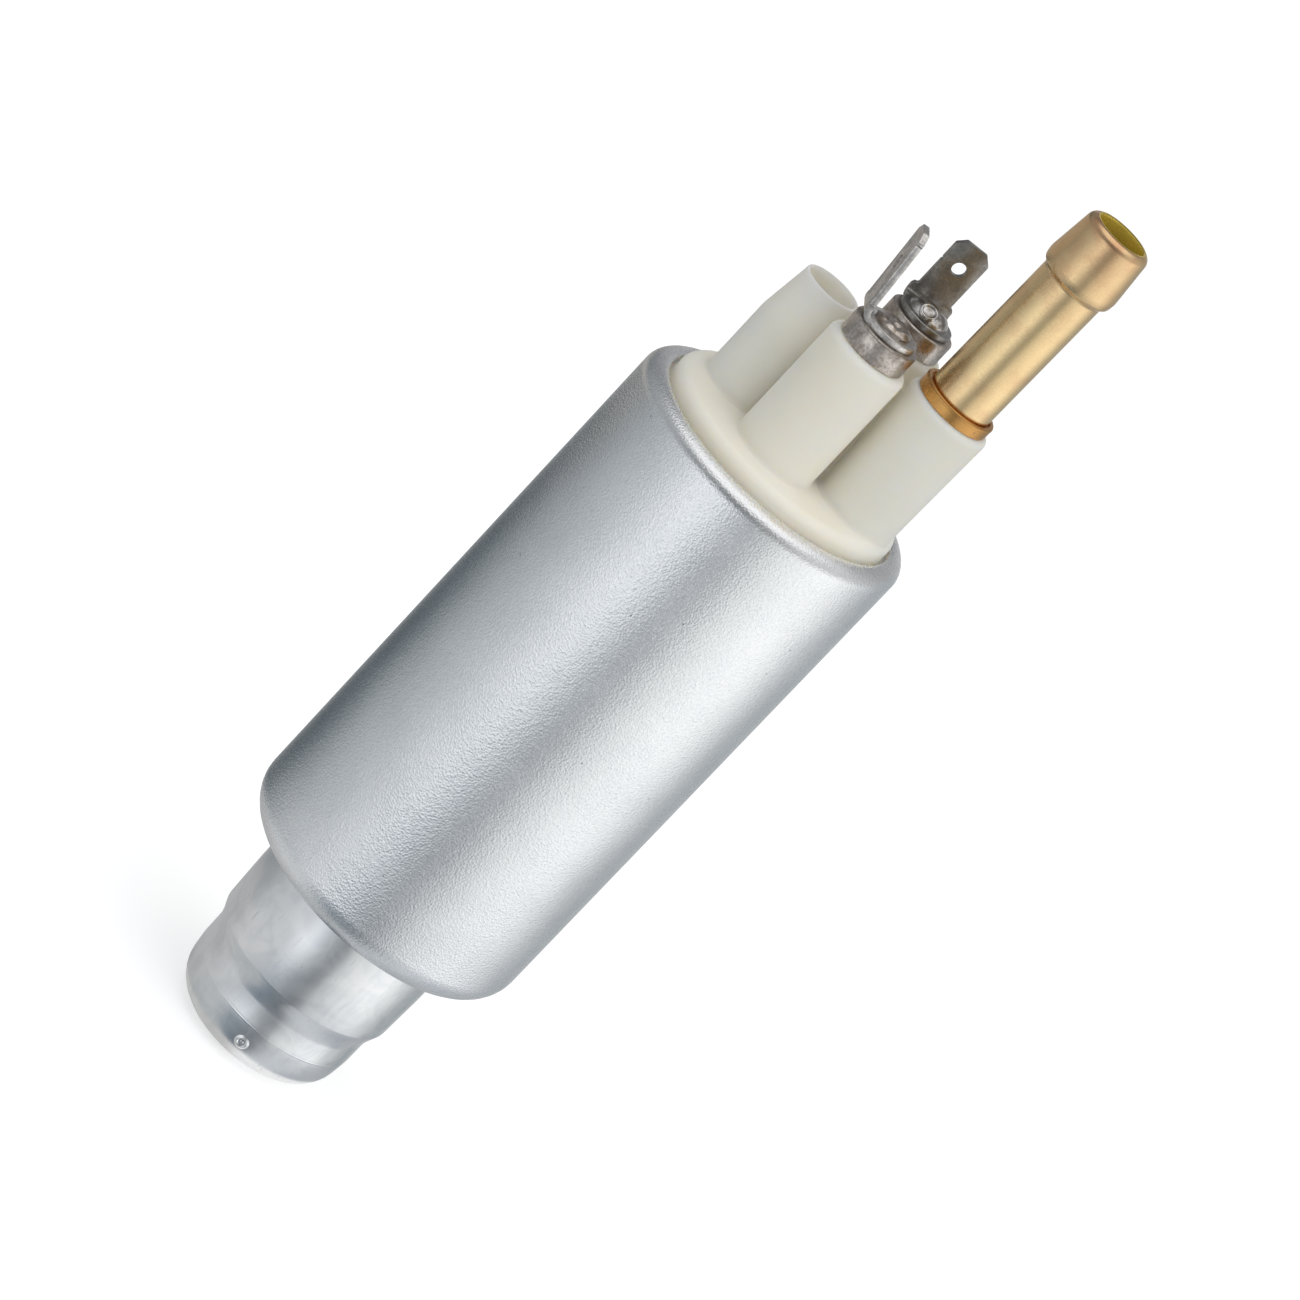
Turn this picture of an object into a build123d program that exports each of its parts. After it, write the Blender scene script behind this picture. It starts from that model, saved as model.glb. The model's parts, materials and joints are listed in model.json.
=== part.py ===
from build123d import *
from math import cos, hypot, pi, radians, sin, sqrt, tan
import os

# Electric fuel pump, in millimetres. +Z runs along the pump's axis from the inlet cup to
# the outlet nozzle, +X runs from the relief stub towards the outlet, and the origin is
# the centre of the inlet cup's flat end. Roundings are drawn as a few chords, and round
# pieces that the can hides have flats, so that the whole model stays light.

# Can
CAN_R = 19.0
CAN_WALL = 1.0
CAN_FLOOR_Z = 24.2
CAN_TOP_Z = 97.5
CAN_FLOOR_ROUND = 4.1
LIP_ROUND = 1.7
LIP_R = 17.2
CAN_BORE_R = CAN_R - CAN_WALL
STACK_R = CAN_BORE_R - 0.05
STACK_Z = CAN_FLOOR_Z + CAN_WALL
BEND_TOP_Z = CAN_FLOOR_Z + CAN_FLOOR_ROUND

# Inlet cup
CUP_WALL = 0.8
CUP_NECK_R = 12.3
CUP_STEP_TOP_Z = 12.0
CUP_STEP_Z = 9.35
CUP_STEP_ROUND = 4.7
CUP_TIP_R = 11.32
CUP_END_ROUND = 4.0
CUP_FLANGE_R = 14.8
INLET_R = 5.5

# Pumping stage: six lobes in seven teeth
LOBES = 6
ECCENTRICITY = 1.25
TOOTH_PITCH_R = 11.6
TOOTH_R = 3.4
MESH_GAP = 0.04
ROTOR_RUN = 0.05
END_GAP = 0.1
OUTER_ROTOR_R = 13.0
INLET_PLATE_Z = STACK_Z + CUP_WALL
INLET_PLATE_T = 5.0
CAM_Z = INLET_PLATE_Z + INLET_PLATE_T
CAM_T = 7.0
OUTLET_PLATE_Z = CAM_Z + CAM_T
OUTLET_PLATE_T = 6.0
PORT_R = 8.9
PORT_WIDTH = 3.2
PORT_ANGLE = 140
DOWEL_R = 1.25
DOWEL_PITCH_R = 15.6
DOWEL_RUN = 0.02

# Drive coupling
COUPLING_R = 4.6
FINGER_R = 5.8
FINGER_WIDTH = 2.2
FINGERS = 3

# Armature
SHAFT_R = 2.0
SHAFT_BOTTOM_Z = CAM_Z + 0.4
SHAFT_TOP_Z = 92.2
FLAT_X = 1.5
BEARING_RUN = 0.04
POLES = 8
LAMINATION_R = 11.8
STACK_BOTTOM_Z = 54.0
STACK_TOP_Z = 76.0
SLOT_ROOT_R = 5.2
SLOT_TOP_R = 10.4
SLOT_ROOT_HALF = 0.9
SLOT_TOP_HALF = 2.6
SLOT_MOUTH = 1.6
END_TURN_H = 3.2
COMMUTATOR_Z = 84.0
COMMUTATOR_TOP_Z = 86.5
COMMUTATOR_IN_R = 3.6
COMMUTATOR_OUT_R = 9.4
COMMUTATOR_GAP = 0.5
HUB_R = 4.2
HUB_FLANGE_R = 9.1
HUB_FLANGE_T = 1.8
HOOK_WIDTH = 1.4
HOOK_H = 2.2

# Stator
FLUX_Z = OUTLET_PLATE_Z + OUTLET_PLATE_T
DOWEL_TOP_Z = FLUX_Z - 1.6
FLUX_TOP_Z = 84.0
FLUX_IN_R = 16.2
MAGNET_IN_R = 12.4
MAGNET_Z = 49.0
MAGNET_TOP_Z = 81.0
MAGNET_ANGLE = 138
CLIP_T = 0.5
CLIP_LEG_Y = 3.4
SEAL_T = 1.5

# Outlet head
HEAD_Z = FLUX_TOP_Z + SEAL_T
SHOULDER_Z = CAN_TOP_Z - CAN_WALL
FLANGE_R = 15.95
FLANGE_Z = 99.55
FLANGE_ROUND = 1.3
TOWER_TOP_Z = 116.05
TOWER_ROUND = 0.9
HEAD_FLOOR_Z = 88.6
HEAD_CHAMBER_R = 12.4
BEARING_R = 3.3
BEARING_TOP_Z = 94.2
TERMINAL_Y = 6.5
TERMINAL_TOWER_R = 5.3
OUTLET_X = 10.2
OUTLET_TOWER_R = 5.35
OUTLET_BORE_R = 3.7
OUTLET_SEAT_Z = 96.0
STUB_X = -8.9
STUB_R = 4.61
STUB_TOP_R = 3.72
STUB_TAPER_Z = 109.2
STUB_BORE_R = 3.25
STUB_SEAT_Z = 99.0

# Brushes and terminals
BRUSH_X = 5.0
BRUSH_Y = 4.4
BRUSH_RUN = 0.06
BRUSH_BOTTOM_Z = COMMUTATOR_TOP_Z + 0.02
BRUSH_TOP_Z = 96.5
BRUSH_ROOF_Z = 113.4
RIVET_SHANK_R = 1.2
RIVET_FOOT_R = 2.1
RIVET_FOOT_Z = 112.6
RIVET_HEAD_R = 2.4
FRONT_RIVET_HEAD_H = 0.9
REAR_RIVET_HEAD_H = 1.25
BUSH_R = 4.35
BUSH_TOP_Z = 118.9
TAB_T = 0.8
TAB_WIDTH = 4.8
TAB_SHOULDER_H = 1.8
TAB_HOLE_R = 0.88
TAB_CORNER = 1.0
FOOT_R = 3.6
REAR_TAB_TURN = 115.8
REAR_TAB_H = 9.5
REAR_TAB_OFFSET = 3.8
REAR_SHOULDER_WIDTH = 6.0
REAR_HOLE_DROP = 3.3
FRONT_TAB_TURN = 203.0
FRONT_TAB_LEAN = 4.5
FRONT_TAB_H = 11.95
FRONT_TAB_OFFSET = 3.95
FRONT_SHOULDER_WIDTH = 5.0
FRONT_HOLE_DROP = 4.8
LEAD_R = 0.5

# Outlet nozzle
NOZZLE_BORE_R = 3.2
NOZZLE_TUBE_R = 4.1
NOZZLE_COLLAR_R = 4.88
NOZZLE_COLLAR_H = 1.6
NOZZLE_BULGE_R = 4.81
NOZZLE_BULGE_Z = 136.35
NOZZLE_BULGE_ROUND = 0.68
NOZZLE_LAND = 1.6
NOZZLE_NOSE_R = 4.25
NOZZLE_NOSE_ROUND = 1.0
NOZZLE_TOP_Z = 144.1
NOZZLE_FOOT_Z = 108.2

# Valves
CHECK_SEAT_R = 2.2
CHECK_HEAD_R = 3.1
CHECK_NOSE_R = 2.1
CHECK_STEM_R = 0.9
CHECK_GUIDE_H = 2.0
CHECK_RIM_Z = OUTLET_SEAT_Z + 0.9
RELIEF_SEAT_R = 1.5
RELIEF_HEAD_R = 2.6
RELIEF_STEM_R = 0.8
RELIEF_RIM_Z = STUB_SEAT_Z + 1.0
RELIEF_RETAINER_Z = STUB_SEAT_Z + 9.0
RELIEF_RETAINER_H = 1.4
VALVE_STEM_H = 4.0
SEAT_GAP = 0.02

# Springs: square wire, drawn as straight runs
WIRE = 0.5
WIRE_GAP = 0.1
WIRE_STEPS = 8
BRUSH_SPRING_R = 1.6
BRUSH_SPRING_TURNS = 6
CHECK_SPRING_R = 2.6
RELIEF_SPRING_R = 1.7
VALVE_SPRING_TURNS = 4


def at_outlet(part):
    """Carry a part from the pump's axis to the outlet tower's axis."""
    return Pos(OUTLET_X, 0, 0) * part


def at_stub(part):
    """Carry a part from the pump's axis to the relief stub's axis."""
    return Pos(STUB_X, 0, 0) * part


def at_terminal(side, part):
    """Carry a part to a terminal tower: side is -1 for the front one, 1 for the rear."""
    return Pos(0, side * TERMINAL_Y, 0) * part


def rounded(corners):
    """Outline points from corners of (radius, height, rounding), chords for each rounding."""
    points = []
    for i, (r, z, rounding) in enumerate(corners):
        here = Vector(r, z)
        if not rounding:
            points.append(here)
            continue
        before = (Vector(*corners[i - 1][:2]) - here).normalized()
        after = (Vector(*corners[(i + 1) % len(corners)][:2]) - here).normalized()
        half = radians(before.get_angle(after)) / 2
        centre = here + (before + after).normalized() * (rounding / sin(half))
        spoke = here + before * (rounding / tan(half)) - centre
        turn = 180 - before.get_angle(after)
        if spoke.cross(here - centre).Z < 0:
            turn = -turn
        chords = max(1, round(rounding))
        points += [centre + spoke.rotate(Axis.Z, turn * k / chords) for k in range(chords + 1)]
    return points


def turned(*corners):
    """Solid turned about Z from corners of (radius, height, rounding)."""
    outline = make_face(Polyline(*rounded(corners), close=True))
    return revolve(Plane.XZ * outline, axis=Axis.Z)


def flats(radius):
    """Number of flats on a hidden round."""
    return 24 if radius > 7 else 16 if radius > 3 else 8


def hidden_round(radius):
    """Outline of a hidden round: its corners lie on the circle."""
    return RegularPolygon(radius, flats(radius))


def hidden_bore(radius):
    """Outline of a hidden bore: its flats lie on the circle."""
    return RegularPolygon(radius, flats(radius), major_radius=False)


def hidden_ring(inner_r, outer_r, low_z, high_z):
    """Tube about Z that the can hides."""
    return raised(hidden_round(outer_r) - hidden_bore(inner_r), low_z, high_z)


def wedge(middle_angle, opening):
    """Sector that cuts a stretch out of a ring."""
    reach = Vector(3 * CAN_R, 0)
    low = reach.rotate(Axis.Z, middle_angle - opening / 2)
    high = reach.rotate(Axis.Z, middle_angle + opening / 2)
    return make_face(Polyline((0, 0), low, high, close=True))


def pin(radius, low_z, high_z):
    """Plain cylinder about Z."""
    return Pos(0, 0, low_z) * Cylinder(
        radius, high_z - low_z, align=(Align.CENTER, Align.CENTER, Align.MIN)
    )


def around(count, part, first_turn=0):
    """Copies of a part, evenly turned about Z."""
    return [Rot(0, 0, first_turn + 360 * i / count) * part for i in range(count)]


def raised(sketch, low_z, high_z):
    """Extrude a sketch from one height to another."""
    return extrude(Pos(0, 0, low_z) * sketch, amount=high_z - low_z)


# Casing and inlet cup


def can():
    """Drawn steel can: rounded floor, open mouth, top edge rolled over the head."""
    under_lip_z = CAN_TOP_Z - CAN_WALL
    body = turned(
        (0, CAN_FLOOR_Z, 0),
        (CAN_R, CAN_FLOOR_Z, CAN_FLOOR_ROUND),
        (CAN_R, CAN_TOP_Z, LIP_ROUND),
        (0, CAN_TOP_Z, 0),
    )
    body -= raised(hidden_bore(CUP_NECK_R + 0.02), CAN_FLOOR_Z, STACK_Z)
    body -= raised(hidden_bore(CAN_R - CAN_FLOOR_ROUND), STACK_Z, BEND_TOP_Z)
    body -= raised(hidden_bore(CAN_BORE_R), BEND_TOP_Z, under_lip_z)
    return body - pin(LIP_R, under_lip_z - 0.1, CAN_TOP_Z)


def inlet_cup():
    """Drawn cup: neck, rounded step, tip with a rounded end, and the inlet hole."""
    step_centre_r = CUP_NECK_R - CUP_STEP_ROUND
    step = []
    for share in (1 / 2, 1):
        drop = share * (CUP_STEP_TOP_Z - CUP_STEP_Z)
        step.insert(0, (step_centre_r + sqrt(CUP_STEP_ROUND**2 - drop**2), CUP_STEP_TOP_Z - drop, 0))
    body = turned(
        (INLET_R, 0, 0),
        (CUP_TIP_R, 0, CUP_END_ROUND),
        (CUP_TIP_R, CUP_STEP_Z, 0),
        *step[1:],
        (CUP_NECK_R, CUP_STEP_TOP_Z, 0),
        (CUP_NECK_R, STACK_Z, 0),
        (INLET_R, STACK_Z, 0),
    )
    body += raised(hidden_round(CUP_FLANGE_R), STACK_Z, INLET_PLATE_Z)
    body -= raised(hidden_round(CUP_TIP_R - CUP_END_ROUND), CUP_WALL, CUP_END_ROUND)
    body -= raised(hidden_round(CUP_TIP_R - CUP_WALL), CUP_END_ROUND, CUP_STEP_TOP_Z)
    return body - raised(hidden_round(CUP_NECK_R - CUP_WALL), CUP_STEP_TOP_Z, INLET_PLATE_Z)


# Pumping stage


def port(middle_angle):
    """Kidney port over the chambers on one side of the rotors."""
    outline = hidden_round(PORT_R + PORT_WIDTH / 2) - hidden_bore(PORT_R - PORT_WIDTH / 2)
    return outline & wedge(middle_angle, PORT_ANGLE)


def dowel_holes():
    """The two places of the dowels."""
    hole = hidden_bore(DOWEL_R + DOWEL_RUN)
    return Sketch() + [Pos(0, side * DOWEL_PITCH_R) * hole for side in (-1, 1)]


def inlet_port_plate():
    """Lower end plate, stepped to clear the can's rounded floor."""
    plate_port = port(270)
    boss = raised(hidden_round(CUP_FLANGE_R) - plate_port, INLET_PLATE_Z, BEND_TOP_Z)
    return boss + raised(hidden_round(STACK_R) - plate_port - dowel_holes(), BEND_TOP_Z, CAM_Z)


def cam_ring():
    """Ring whose bore stands off the shaft's axis by the eccentricity."""
    bore = Pos(ECCENTRICITY, 0) * hidden_bore(OUTER_ROTOR_R)
    return raised(hidden_round(STACK_R) - bore - dowel_holes(), CAM_Z, OUTLET_PLATE_Z)


def outlet_port_plate():
    """Upper end plate, with the outlet port and the shaft's lower bearing."""
    outline = hidden_round(STACK_R) - hidden_bore(SHAFT_R + BEARING_RUN)
    outline -= port(90)
    disc = raised(outline, OUTLET_PLATE_Z, FLUX_Z)
    return disc - raised(dowel_holes(), OUTLET_PLATE_Z, DOWEL_TOP_Z + END_GAP)


def pump_dowels():
    """Two pins that line up the three plates."""
    dowel = raised(hidden_round(DOWEL_R), BEND_TOP_Z + END_GAP, DOWEL_TOP_Z)
    return Compound([Pos(0, side * DOWEL_PITCH_R) * dowel for side in (-1, 1)])


def lobe_point(turn):
    """Point of the inner rotor's outline, from the path of a tooth's centre over it."""
    x = TOOTH_PITCH_R * cos(turn) + ECCENTRICITY * cos((LOBES + 1) * turn)
    y = TOOTH_PITCH_R * sin(turn) + ECCENTRICITY * sin((LOBES + 1) * turn)
    dx = -TOOTH_PITCH_R * sin(turn) - ECCENTRICITY * (LOBES + 1) * sin((LOBES + 1) * turn)
    dy = TOOTH_PITCH_R * cos(turn) + ECCENTRICITY * (LOBES + 1) * cos((LOBES + 1) * turn)
    inset = (TOOTH_R + MESH_GAP) / hypot(dx, dy)
    return Vector(x - inset * dy, y + inset * dx)


def inner_rotor():
    """Inner gerotor rotor: trochoid lobes, and a bore notched for the coupling's fingers."""
    arcs = 8 * LOBES
    step = 2 * pi / arcs
    flanks = [
        ThreePointArc(lobe_point(i * step), lobe_point((i + 0.5) * step), lobe_point((i + 1) * step))
        for i in range(arcs)
    ]
    outline = make_face(flanks)
    outline -= coupling_outline(COUPLING_R, FINGER_R, FINGER_WIDTH)
    return raised(outline, CAM_Z + ROTOR_RUN, OUTLET_PLATE_Z - ROTOR_RUN)


def outer_rotor():
    """Outer gerotor rotor: round teeth between round roots, about its own axis."""
    root_r = TOOTH_PITCH_R - TOOTH_R + 2 * ECCENTRICITY + ROTOR_RUN
    teeth = around(LOBES + 1, Pos(TOOTH_PITCH_R, 0) * Circle(TOOTH_R))
    outline = hidden_round(OUTER_ROTOR_R - ROTOR_RUN) - (Circle(root_r) - teeth)
    body = raised(outline, CAM_Z + ROTOR_RUN, OUTLET_PLATE_Z - ROTOR_RUN)
    return Pos(ECCENTRICITY, 0, 0) * body


def coupling_outline(hub_r, finger_r, finger_width):
    """Hub with fingers, for the coupling and for the rotor's bore."""
    finger = Rectangle(finger_r, finger_width, align=(Align.MIN, Align.CENTER))
    return hidden_round(hub_r) + around(FINGERS, finger)


def drive_coupling():
    """Moulded coupling that keys the inner rotor to the shaft's flat."""
    outline = coupling_outline(COUPLING_R - 0.05, FINGER_R - 0.05, FINGER_WIDTH - 0.1)
    outline -= shaft_outline(hidden_bore(SHAFT_R), FLAT_X + 0.01)
    return raised(outline, CAM_Z + 0.3, OUTLET_PLATE_Z - 0.3)


# Armature


def shaft_outline(outline, flat_x):
    """Round of the shaft's end with its one flat."""
    flat = Pos(flat_x, 0) * Rectangle(SHAFT_R, 3 * SHAFT_R, align=(Align.MIN, Align.CENTER))
    return outline - flat


def shaft():
    """Armature shaft, with a flat for the coupling."""
    flatted = raised(shaft_outline(hidden_round(SHAFT_R), FLAT_X), SHAFT_BOTTOM_Z, OUTLET_PLATE_Z)
    return flatted + raised(hidden_round(SHAFT_R), OUTLET_PLATE_Z, SHAFT_TOP_Z)


def slot_outline(inset):
    """Winding slot of one pole, drawn in from the iron by inset."""
    root = SLOT_ROOT_HALF - inset
    top = SLOT_TOP_HALF - inset
    return make_face(
        Polyline(
            (SLOT_ROOT_R + inset, -root),
            (SLOT_TOP_R - inset, -top),
            (SLOT_TOP_R - inset, top),
            (SLOT_ROOT_R + inset, root),
            close=True,
        )
    )


def lamination_stack():
    """Armature iron: eight T-shaped poles round the shaft."""
    mouth = Pos(SLOT_TOP_R - 0.5, 0) * Rectangle(
        LAMINATION_R, SLOT_MOUTH, align=(Align.MIN, Align.CENTER)
    )
    slots = around(POLES, slot_outline(0) + mouth)
    outline = hidden_round(LAMINATION_R) - hidden_bore(SHAFT_R) - slots
    return raised(outline, STACK_BOTTOM_Z, STACK_TOP_Z)


def windings():
    """Copper windings: one bundle in each slot, and the heads at both ends."""
    inner_r = SLOT_ROOT_R - 0.6
    bundle = raised(slot_outline(0.2), STACK_BOTTOM_Z, STACK_TOP_Z)
    below = hidden_ring(inner_r, SLOT_TOP_R, STACK_BOTTOM_Z - END_TURN_H, STACK_BOTTOM_Z)
    above = hidden_ring(inner_r, SLOT_TOP_R, STACK_TOP_Z, STACK_TOP_Z + END_TURN_H)
    return below + above + around(POLES, bundle)


def commutator_hub():
    """Moulded hub that carries the commutator on the shaft."""
    foot_z = STACK_TOP_Z + END_TURN_H + END_GAP
    neck = hidden_ring(SHAFT_R, HUB_R, foot_z, COMMUTATOR_Z)
    return neck + hidden_ring(SHAFT_R, HUB_FLANGE_R, COMMUTATOR_Z - HUB_FLANGE_T, COMMUTATOR_Z)


def commutator_segments():
    """Eight copper segments of the face commutator, each with its winding hook."""
    gap = Rectangle(2 * COMMUTATOR_OUT_R, COMMUTATOR_GAP, align=(Align.MIN, Align.CENTER))
    face = hidden_round(COMMUTATOR_OUT_R) - hidden_bore(COMMUTATOR_IN_R) - around(POLES, gap)
    hook = Pos(HUB_FLANGE_R + 0.05, 0, COMMUTATOR_TOP_Z - HOOK_H) * Box(
        0.8, HOOK_WIDTH, HOOK_H, align=(Align.MIN, Align.CENTER, Align.MIN)
    )
    segments = raised(face, COMMUTATOR_Z, COMMUTATOR_TOP_Z)
    return Compound((segments + around(POLES, hook, 180 / POLES)).solids())


def upper_bearing():
    """Plain sintered bush in the head."""
    return hidden_ring(SHAFT_R + BEARING_RUN, BEARING_R, HEAD_FLOOR_Z + END_GAP, BEARING_TOP_Z - END_GAP)


# Stator


def flux_ring():
    """Steel tube that closes the magnets' circuit inside the can."""
    return hidden_ring(FLUX_IN_R, STACK_R, FLUX_Z, FLUX_TOP_Z)


def magnet(middle_angle):
    """Ferrite arc magnet."""
    outline = (hidden_round(FLUX_IN_R) - hidden_bore(MAGNET_IN_R)) & wedge(middle_angle, MAGNET_ANGLE)
    return raised(outline, MAGNET_Z, MAGNET_TOP_Z)


def magnet_clips():
    """Two folded spring clips that press the magnets apart."""
    knee_r = MAGNET_IN_R + 0.9
    end_r = FLUX_IN_R - 0.8
    strip = make_face(
        Polyline(
            (knee_r, 0),
            (end_r - CLIP_T, -CLIP_LEG_Y),
            (end_r, -CLIP_LEG_Y),
            (knee_r + CLIP_T, 0),
            (end_r, CLIP_LEG_Y),
            (end_r - CLIP_T, CLIP_LEG_Y),
            close=True,
        )
    )
    clip = raised(strip, MAGNET_Z + 2, MAGNET_TOP_Z - 2)
    return Compound(around(2, clip))


# Outlet head


def head_seal():
    """Square-cut sealing ring under the head."""
    return hidden_ring(FLUX_IN_R, STACK_R, FLUX_TOP_Z, HEAD_Z)


def tower(radius, top_z, top_round):
    """Moulded tower with a rounded top edge."""
    return turned(
        (0, SHOULDER_Z - 1, 0),
        (radius, SHOULDER_Z - 1, 0),
        (radius, top_z, top_round),
        (0, top_z, 0),
    )


def stub_taper():
    """Upper part of the relief stub, drawn in towards its thin open end."""
    return turned(
        (0, STUB_TAPER_Z, 0),
        (STUB_R, STUB_TAPER_Z, 0),
        (STUB_TOP_R, TOWER_TOP_Z, 0),
        (0, TOWER_TOP_Z, 0),
    )


def brush_bore():
    """Rectangular guide of a brush and its spring."""
    size_x = BRUSH_X + 2 * BRUSH_RUN
    size_y = BRUSH_Y + 2 * BRUSH_RUN
    return raised(Rectangle(size_x, size_y), HEAD_FLOOR_Z, BRUSH_ROOF_Z)


def head():
    """Moulded outlet head with its four towers, bores and bearing seat."""
    body = raised(hidden_round(STACK_R), HEAD_Z, SHOULDER_Z)
    body += turned(
        (0, SHOULDER_Z - 1, 0),
        (FLANGE_R, SHOULDER_Z - 1, 0),
        (FLANGE_R, FLANGE_Z, FLANGE_ROUND),
        (0, FLANGE_Z, 0),
    )
    for side in (-1, 1):
        body += at_terminal(side, tower(TERMINAL_TOWER_R, TOWER_TOP_Z, TOWER_ROUND))
    body += at_outlet(tower(OUTLET_TOWER_R, TOWER_TOP_Z, 0))
    body += at_stub(tower(STUB_R, STUB_TAPER_Z, 0) + stub_taper())
    body -= raised(hidden_round(HEAD_CHAMBER_R), HEAD_Z, HEAD_FLOOR_Z)
    body -= raised(hidden_bore(BEARING_R), HEAD_FLOOR_Z, BEARING_TOP_Z)
    for side in (-1, 1):
        body -= at_terminal(side, brush_bore())
        body -= at_terminal(side, raised(hidden_bore(RIVET_SHANK_R), BRUSH_ROOF_Z, TOWER_TOP_Z))
    body -= at_outlet(raised(hidden_round(CHECK_SEAT_R), HEAD_Z, OUTLET_SEAT_Z))
    body -= at_outlet(raised(hidden_bore(OUTLET_BORE_R), OUTLET_SEAT_Z, TOWER_TOP_Z))
    body -= at_stub(raised(hidden_bore(RELIEF_SEAT_R), HEAD_Z, STUB_SEAT_Z))
    return body - at_stub(pin(STUB_BORE_R, STUB_SEAT_Z, TOWER_TOP_Z))


def outlet_barb():
    """Turned brass nozzle: spigot, collar, tube, and a bulged end that holds the hose."""
    collar_z = TOWER_TOP_Z + NOZZLE_COLLAR_H
    body = turned(
        (0, TOWER_TOP_Z, 0),
        (NOZZLE_COLLAR_R, TOWER_TOP_Z, 0),
        (NOZZLE_COLLAR_R, collar_z, 0),
        (NOZZLE_TUBE_R, collar_z, 0),
        (NOZZLE_TUBE_R, NOZZLE_BULGE_Z, 0),
        (NOZZLE_BULGE_R, NOZZLE_BULGE_Z, NOZZLE_BULGE_ROUND),
        (NOZZLE_BULGE_R, NOZZLE_BULGE_Z + NOZZLE_LAND, 0),
        (NOZZLE_NOSE_R, NOZZLE_TOP_Z, NOZZLE_NOSE_ROUND),
        (0, NOZZLE_TOP_Z, 0),
    )
    body += raised(hidden_round(OUTLET_BORE_R), NOZZLE_FOOT_Z, TOWER_TOP_Z)
    return at_outlet(body - pin(NOZZLE_BORE_R, NOZZLE_FOOT_Z, NOZZLE_TOP_Z))


# Terminals and brush gear


def terminal_bush(side):
    """Tinned steel ring between a tower and its tab."""
    ring = Circle(BUSH_R) - hidden_bore(RIVET_SHANK_R)
    return at_terminal(side, raised(ring, TOWER_TOP_Z, BUSH_TOP_Z))


def terminal(side, turn, tab_h, offset, shoulder_width, hole_drop, lean=0):
    """Bent tab terminal: round foot, bend, shoulders and a 4.8 mm tab with its hole."""
    inner_bend = 0.4
    far = offset + TAB_T / 2
    near = offset - TAB_T / 2
    with BuildPart() as blade:
        with BuildSketch(Plane.XZ):
            with BuildLine():
                FilletPolyline(
                    (0, 0),
                    (far, 0),
                    (far, tab_h),
                    (near, tab_h),
                    (near, TAB_T),
                    (0, TAB_T),
                    radius=[0, inner_bend + TAB_T, 0, 0, inner_bend, 0],
                    close=True,
                )
            make_face()
        extrude(amount=shoulder_width / 2, both=True)
    tab_rise = tab_h - TAB_SHOULDER_H
    side_cut = Pos(near, TAB_WIDTH / 2, TAB_SHOULDER_H) * Box(
        4 * TAB_T, shoulder_width, tab_h, align=(Align.CENTER, Align.MIN, Align.MIN)
    )
    corner_cut = Pos(offset, TAB_WIDTH / 2, tab_h) * Rot(45, 0, 0) * Box(
        3 * TAB_T, TAB_CORNER * sqrt(2), TAB_CORNER * sqrt(2)
    )
    hole = Pos(offset, 0, tab_h - hole_drop) * Rot(0, 90, 0) * Cylinder(
        TAB_HOLE_R, 3 * TAB_T
    )
    tab = blade.part - hole
    for cut in (side_cut, corner_cut):
        tab = tab - cut - mirror(cut, about=Plane.XZ)
    foot = pin(FOOT_R, 0, TAB_T)
    body = (tab + foot) - raised(hidden_bore(RIVET_SHANK_R), -1, TAB_T + 1)
    if lean:
        body = leaned(body, lean, offset, tab_rise)
    return at_terminal(side, Pos(0, 0, BUSH_TOP_Z) * Rot(0, 0, turn) * body)


def leaned(body, lean, offset, reach):
    """Tilt the standing part of a terminal outward about its bend."""
    bend_z = TAB_SHOULDER_H
    split_box = Pos(offset, 0, bend_z) * Box(
        8, 10, 2 * reach, align=(Align.CENTER, Align.CENTER, Align.MIN)
    )
    standing = body & split_box
    pivot = Pos(offset, 0, bend_z)
    tilted = pivot * Rot(0, lean, 0) * pivot.inverse() * standing
    knee = pivot * Rot(90, 0, 0) * Cylinder(TAB_T / 2, TAB_WIDTH)
    return (body - split_box) + tilted + knee


def rivet(side, head_h):
    """Rivet from the spring's seat under the roof to its staked head on the terminal."""
    foot_top_z = BUSH_TOP_Z + TAB_T
    staked = pin(RIVET_HEAD_R, foot_top_z, foot_top_z + head_h)
    shank = raised(hidden_round(RIVET_SHANK_R), BRUSH_ROOF_Z, foot_top_z)
    seat = raised(hidden_round(RIVET_FOOT_R), RIVET_FOOT_Z, BRUSH_ROOF_Z)
    return at_terminal(side, staked + shank + seat)


def brush(side):
    """Carbon brush."""
    return at_terminal(side, raised(Rectangle(BRUSH_X, BRUSH_Y), BRUSH_BOTTOM_Z, BRUSH_TOP_Z))


def brush_lead(side):
    """Copper lead from the brush to the rivet."""
    return at_terminal(side, raised(hidden_round(LEAD_R), BRUSH_TOP_Z, RIVET_FOOT_Z))


def coil_spring(radius, turns, low_z, high_z):
    """Compression spring of square wire whose first and last half turns lie flat."""
    steps = turns * WIRE_STEPS
    dead = WIRE_STEPS // 2
    low = low_z + WIRE / 2
    rise = high_z - low_z - WIRE - WIRE_GAP
    points = []
    for i in range(steps + 1):
        turn = 2 * pi * i / WIRE_STEPS
        share = min(max(i - dead, 0), steps - 2 * dead) / (steps - 2 * dead)
        points.append((radius * cos(turn), radius * sin(turn), low + rise * share))
    path = Polyline(*points)
    section = Plane(path @ 0, x_dir=(0, 0, 1), z_dir=path % 0) * Rectangle(WIRE, WIRE)
    return sweep(section, path=path, transition=Transition.RIGHT, clean=False)


def brush_spring(side):
    """Spring that presses a brush on the commutator."""
    spring = coil_spring(BRUSH_SPRING_R, BRUSH_SPRING_TURNS, BRUSH_TOP_Z, RIVET_FOOT_Z)
    return at_terminal(side, spring)


# Check valve in the outlet tower


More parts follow.
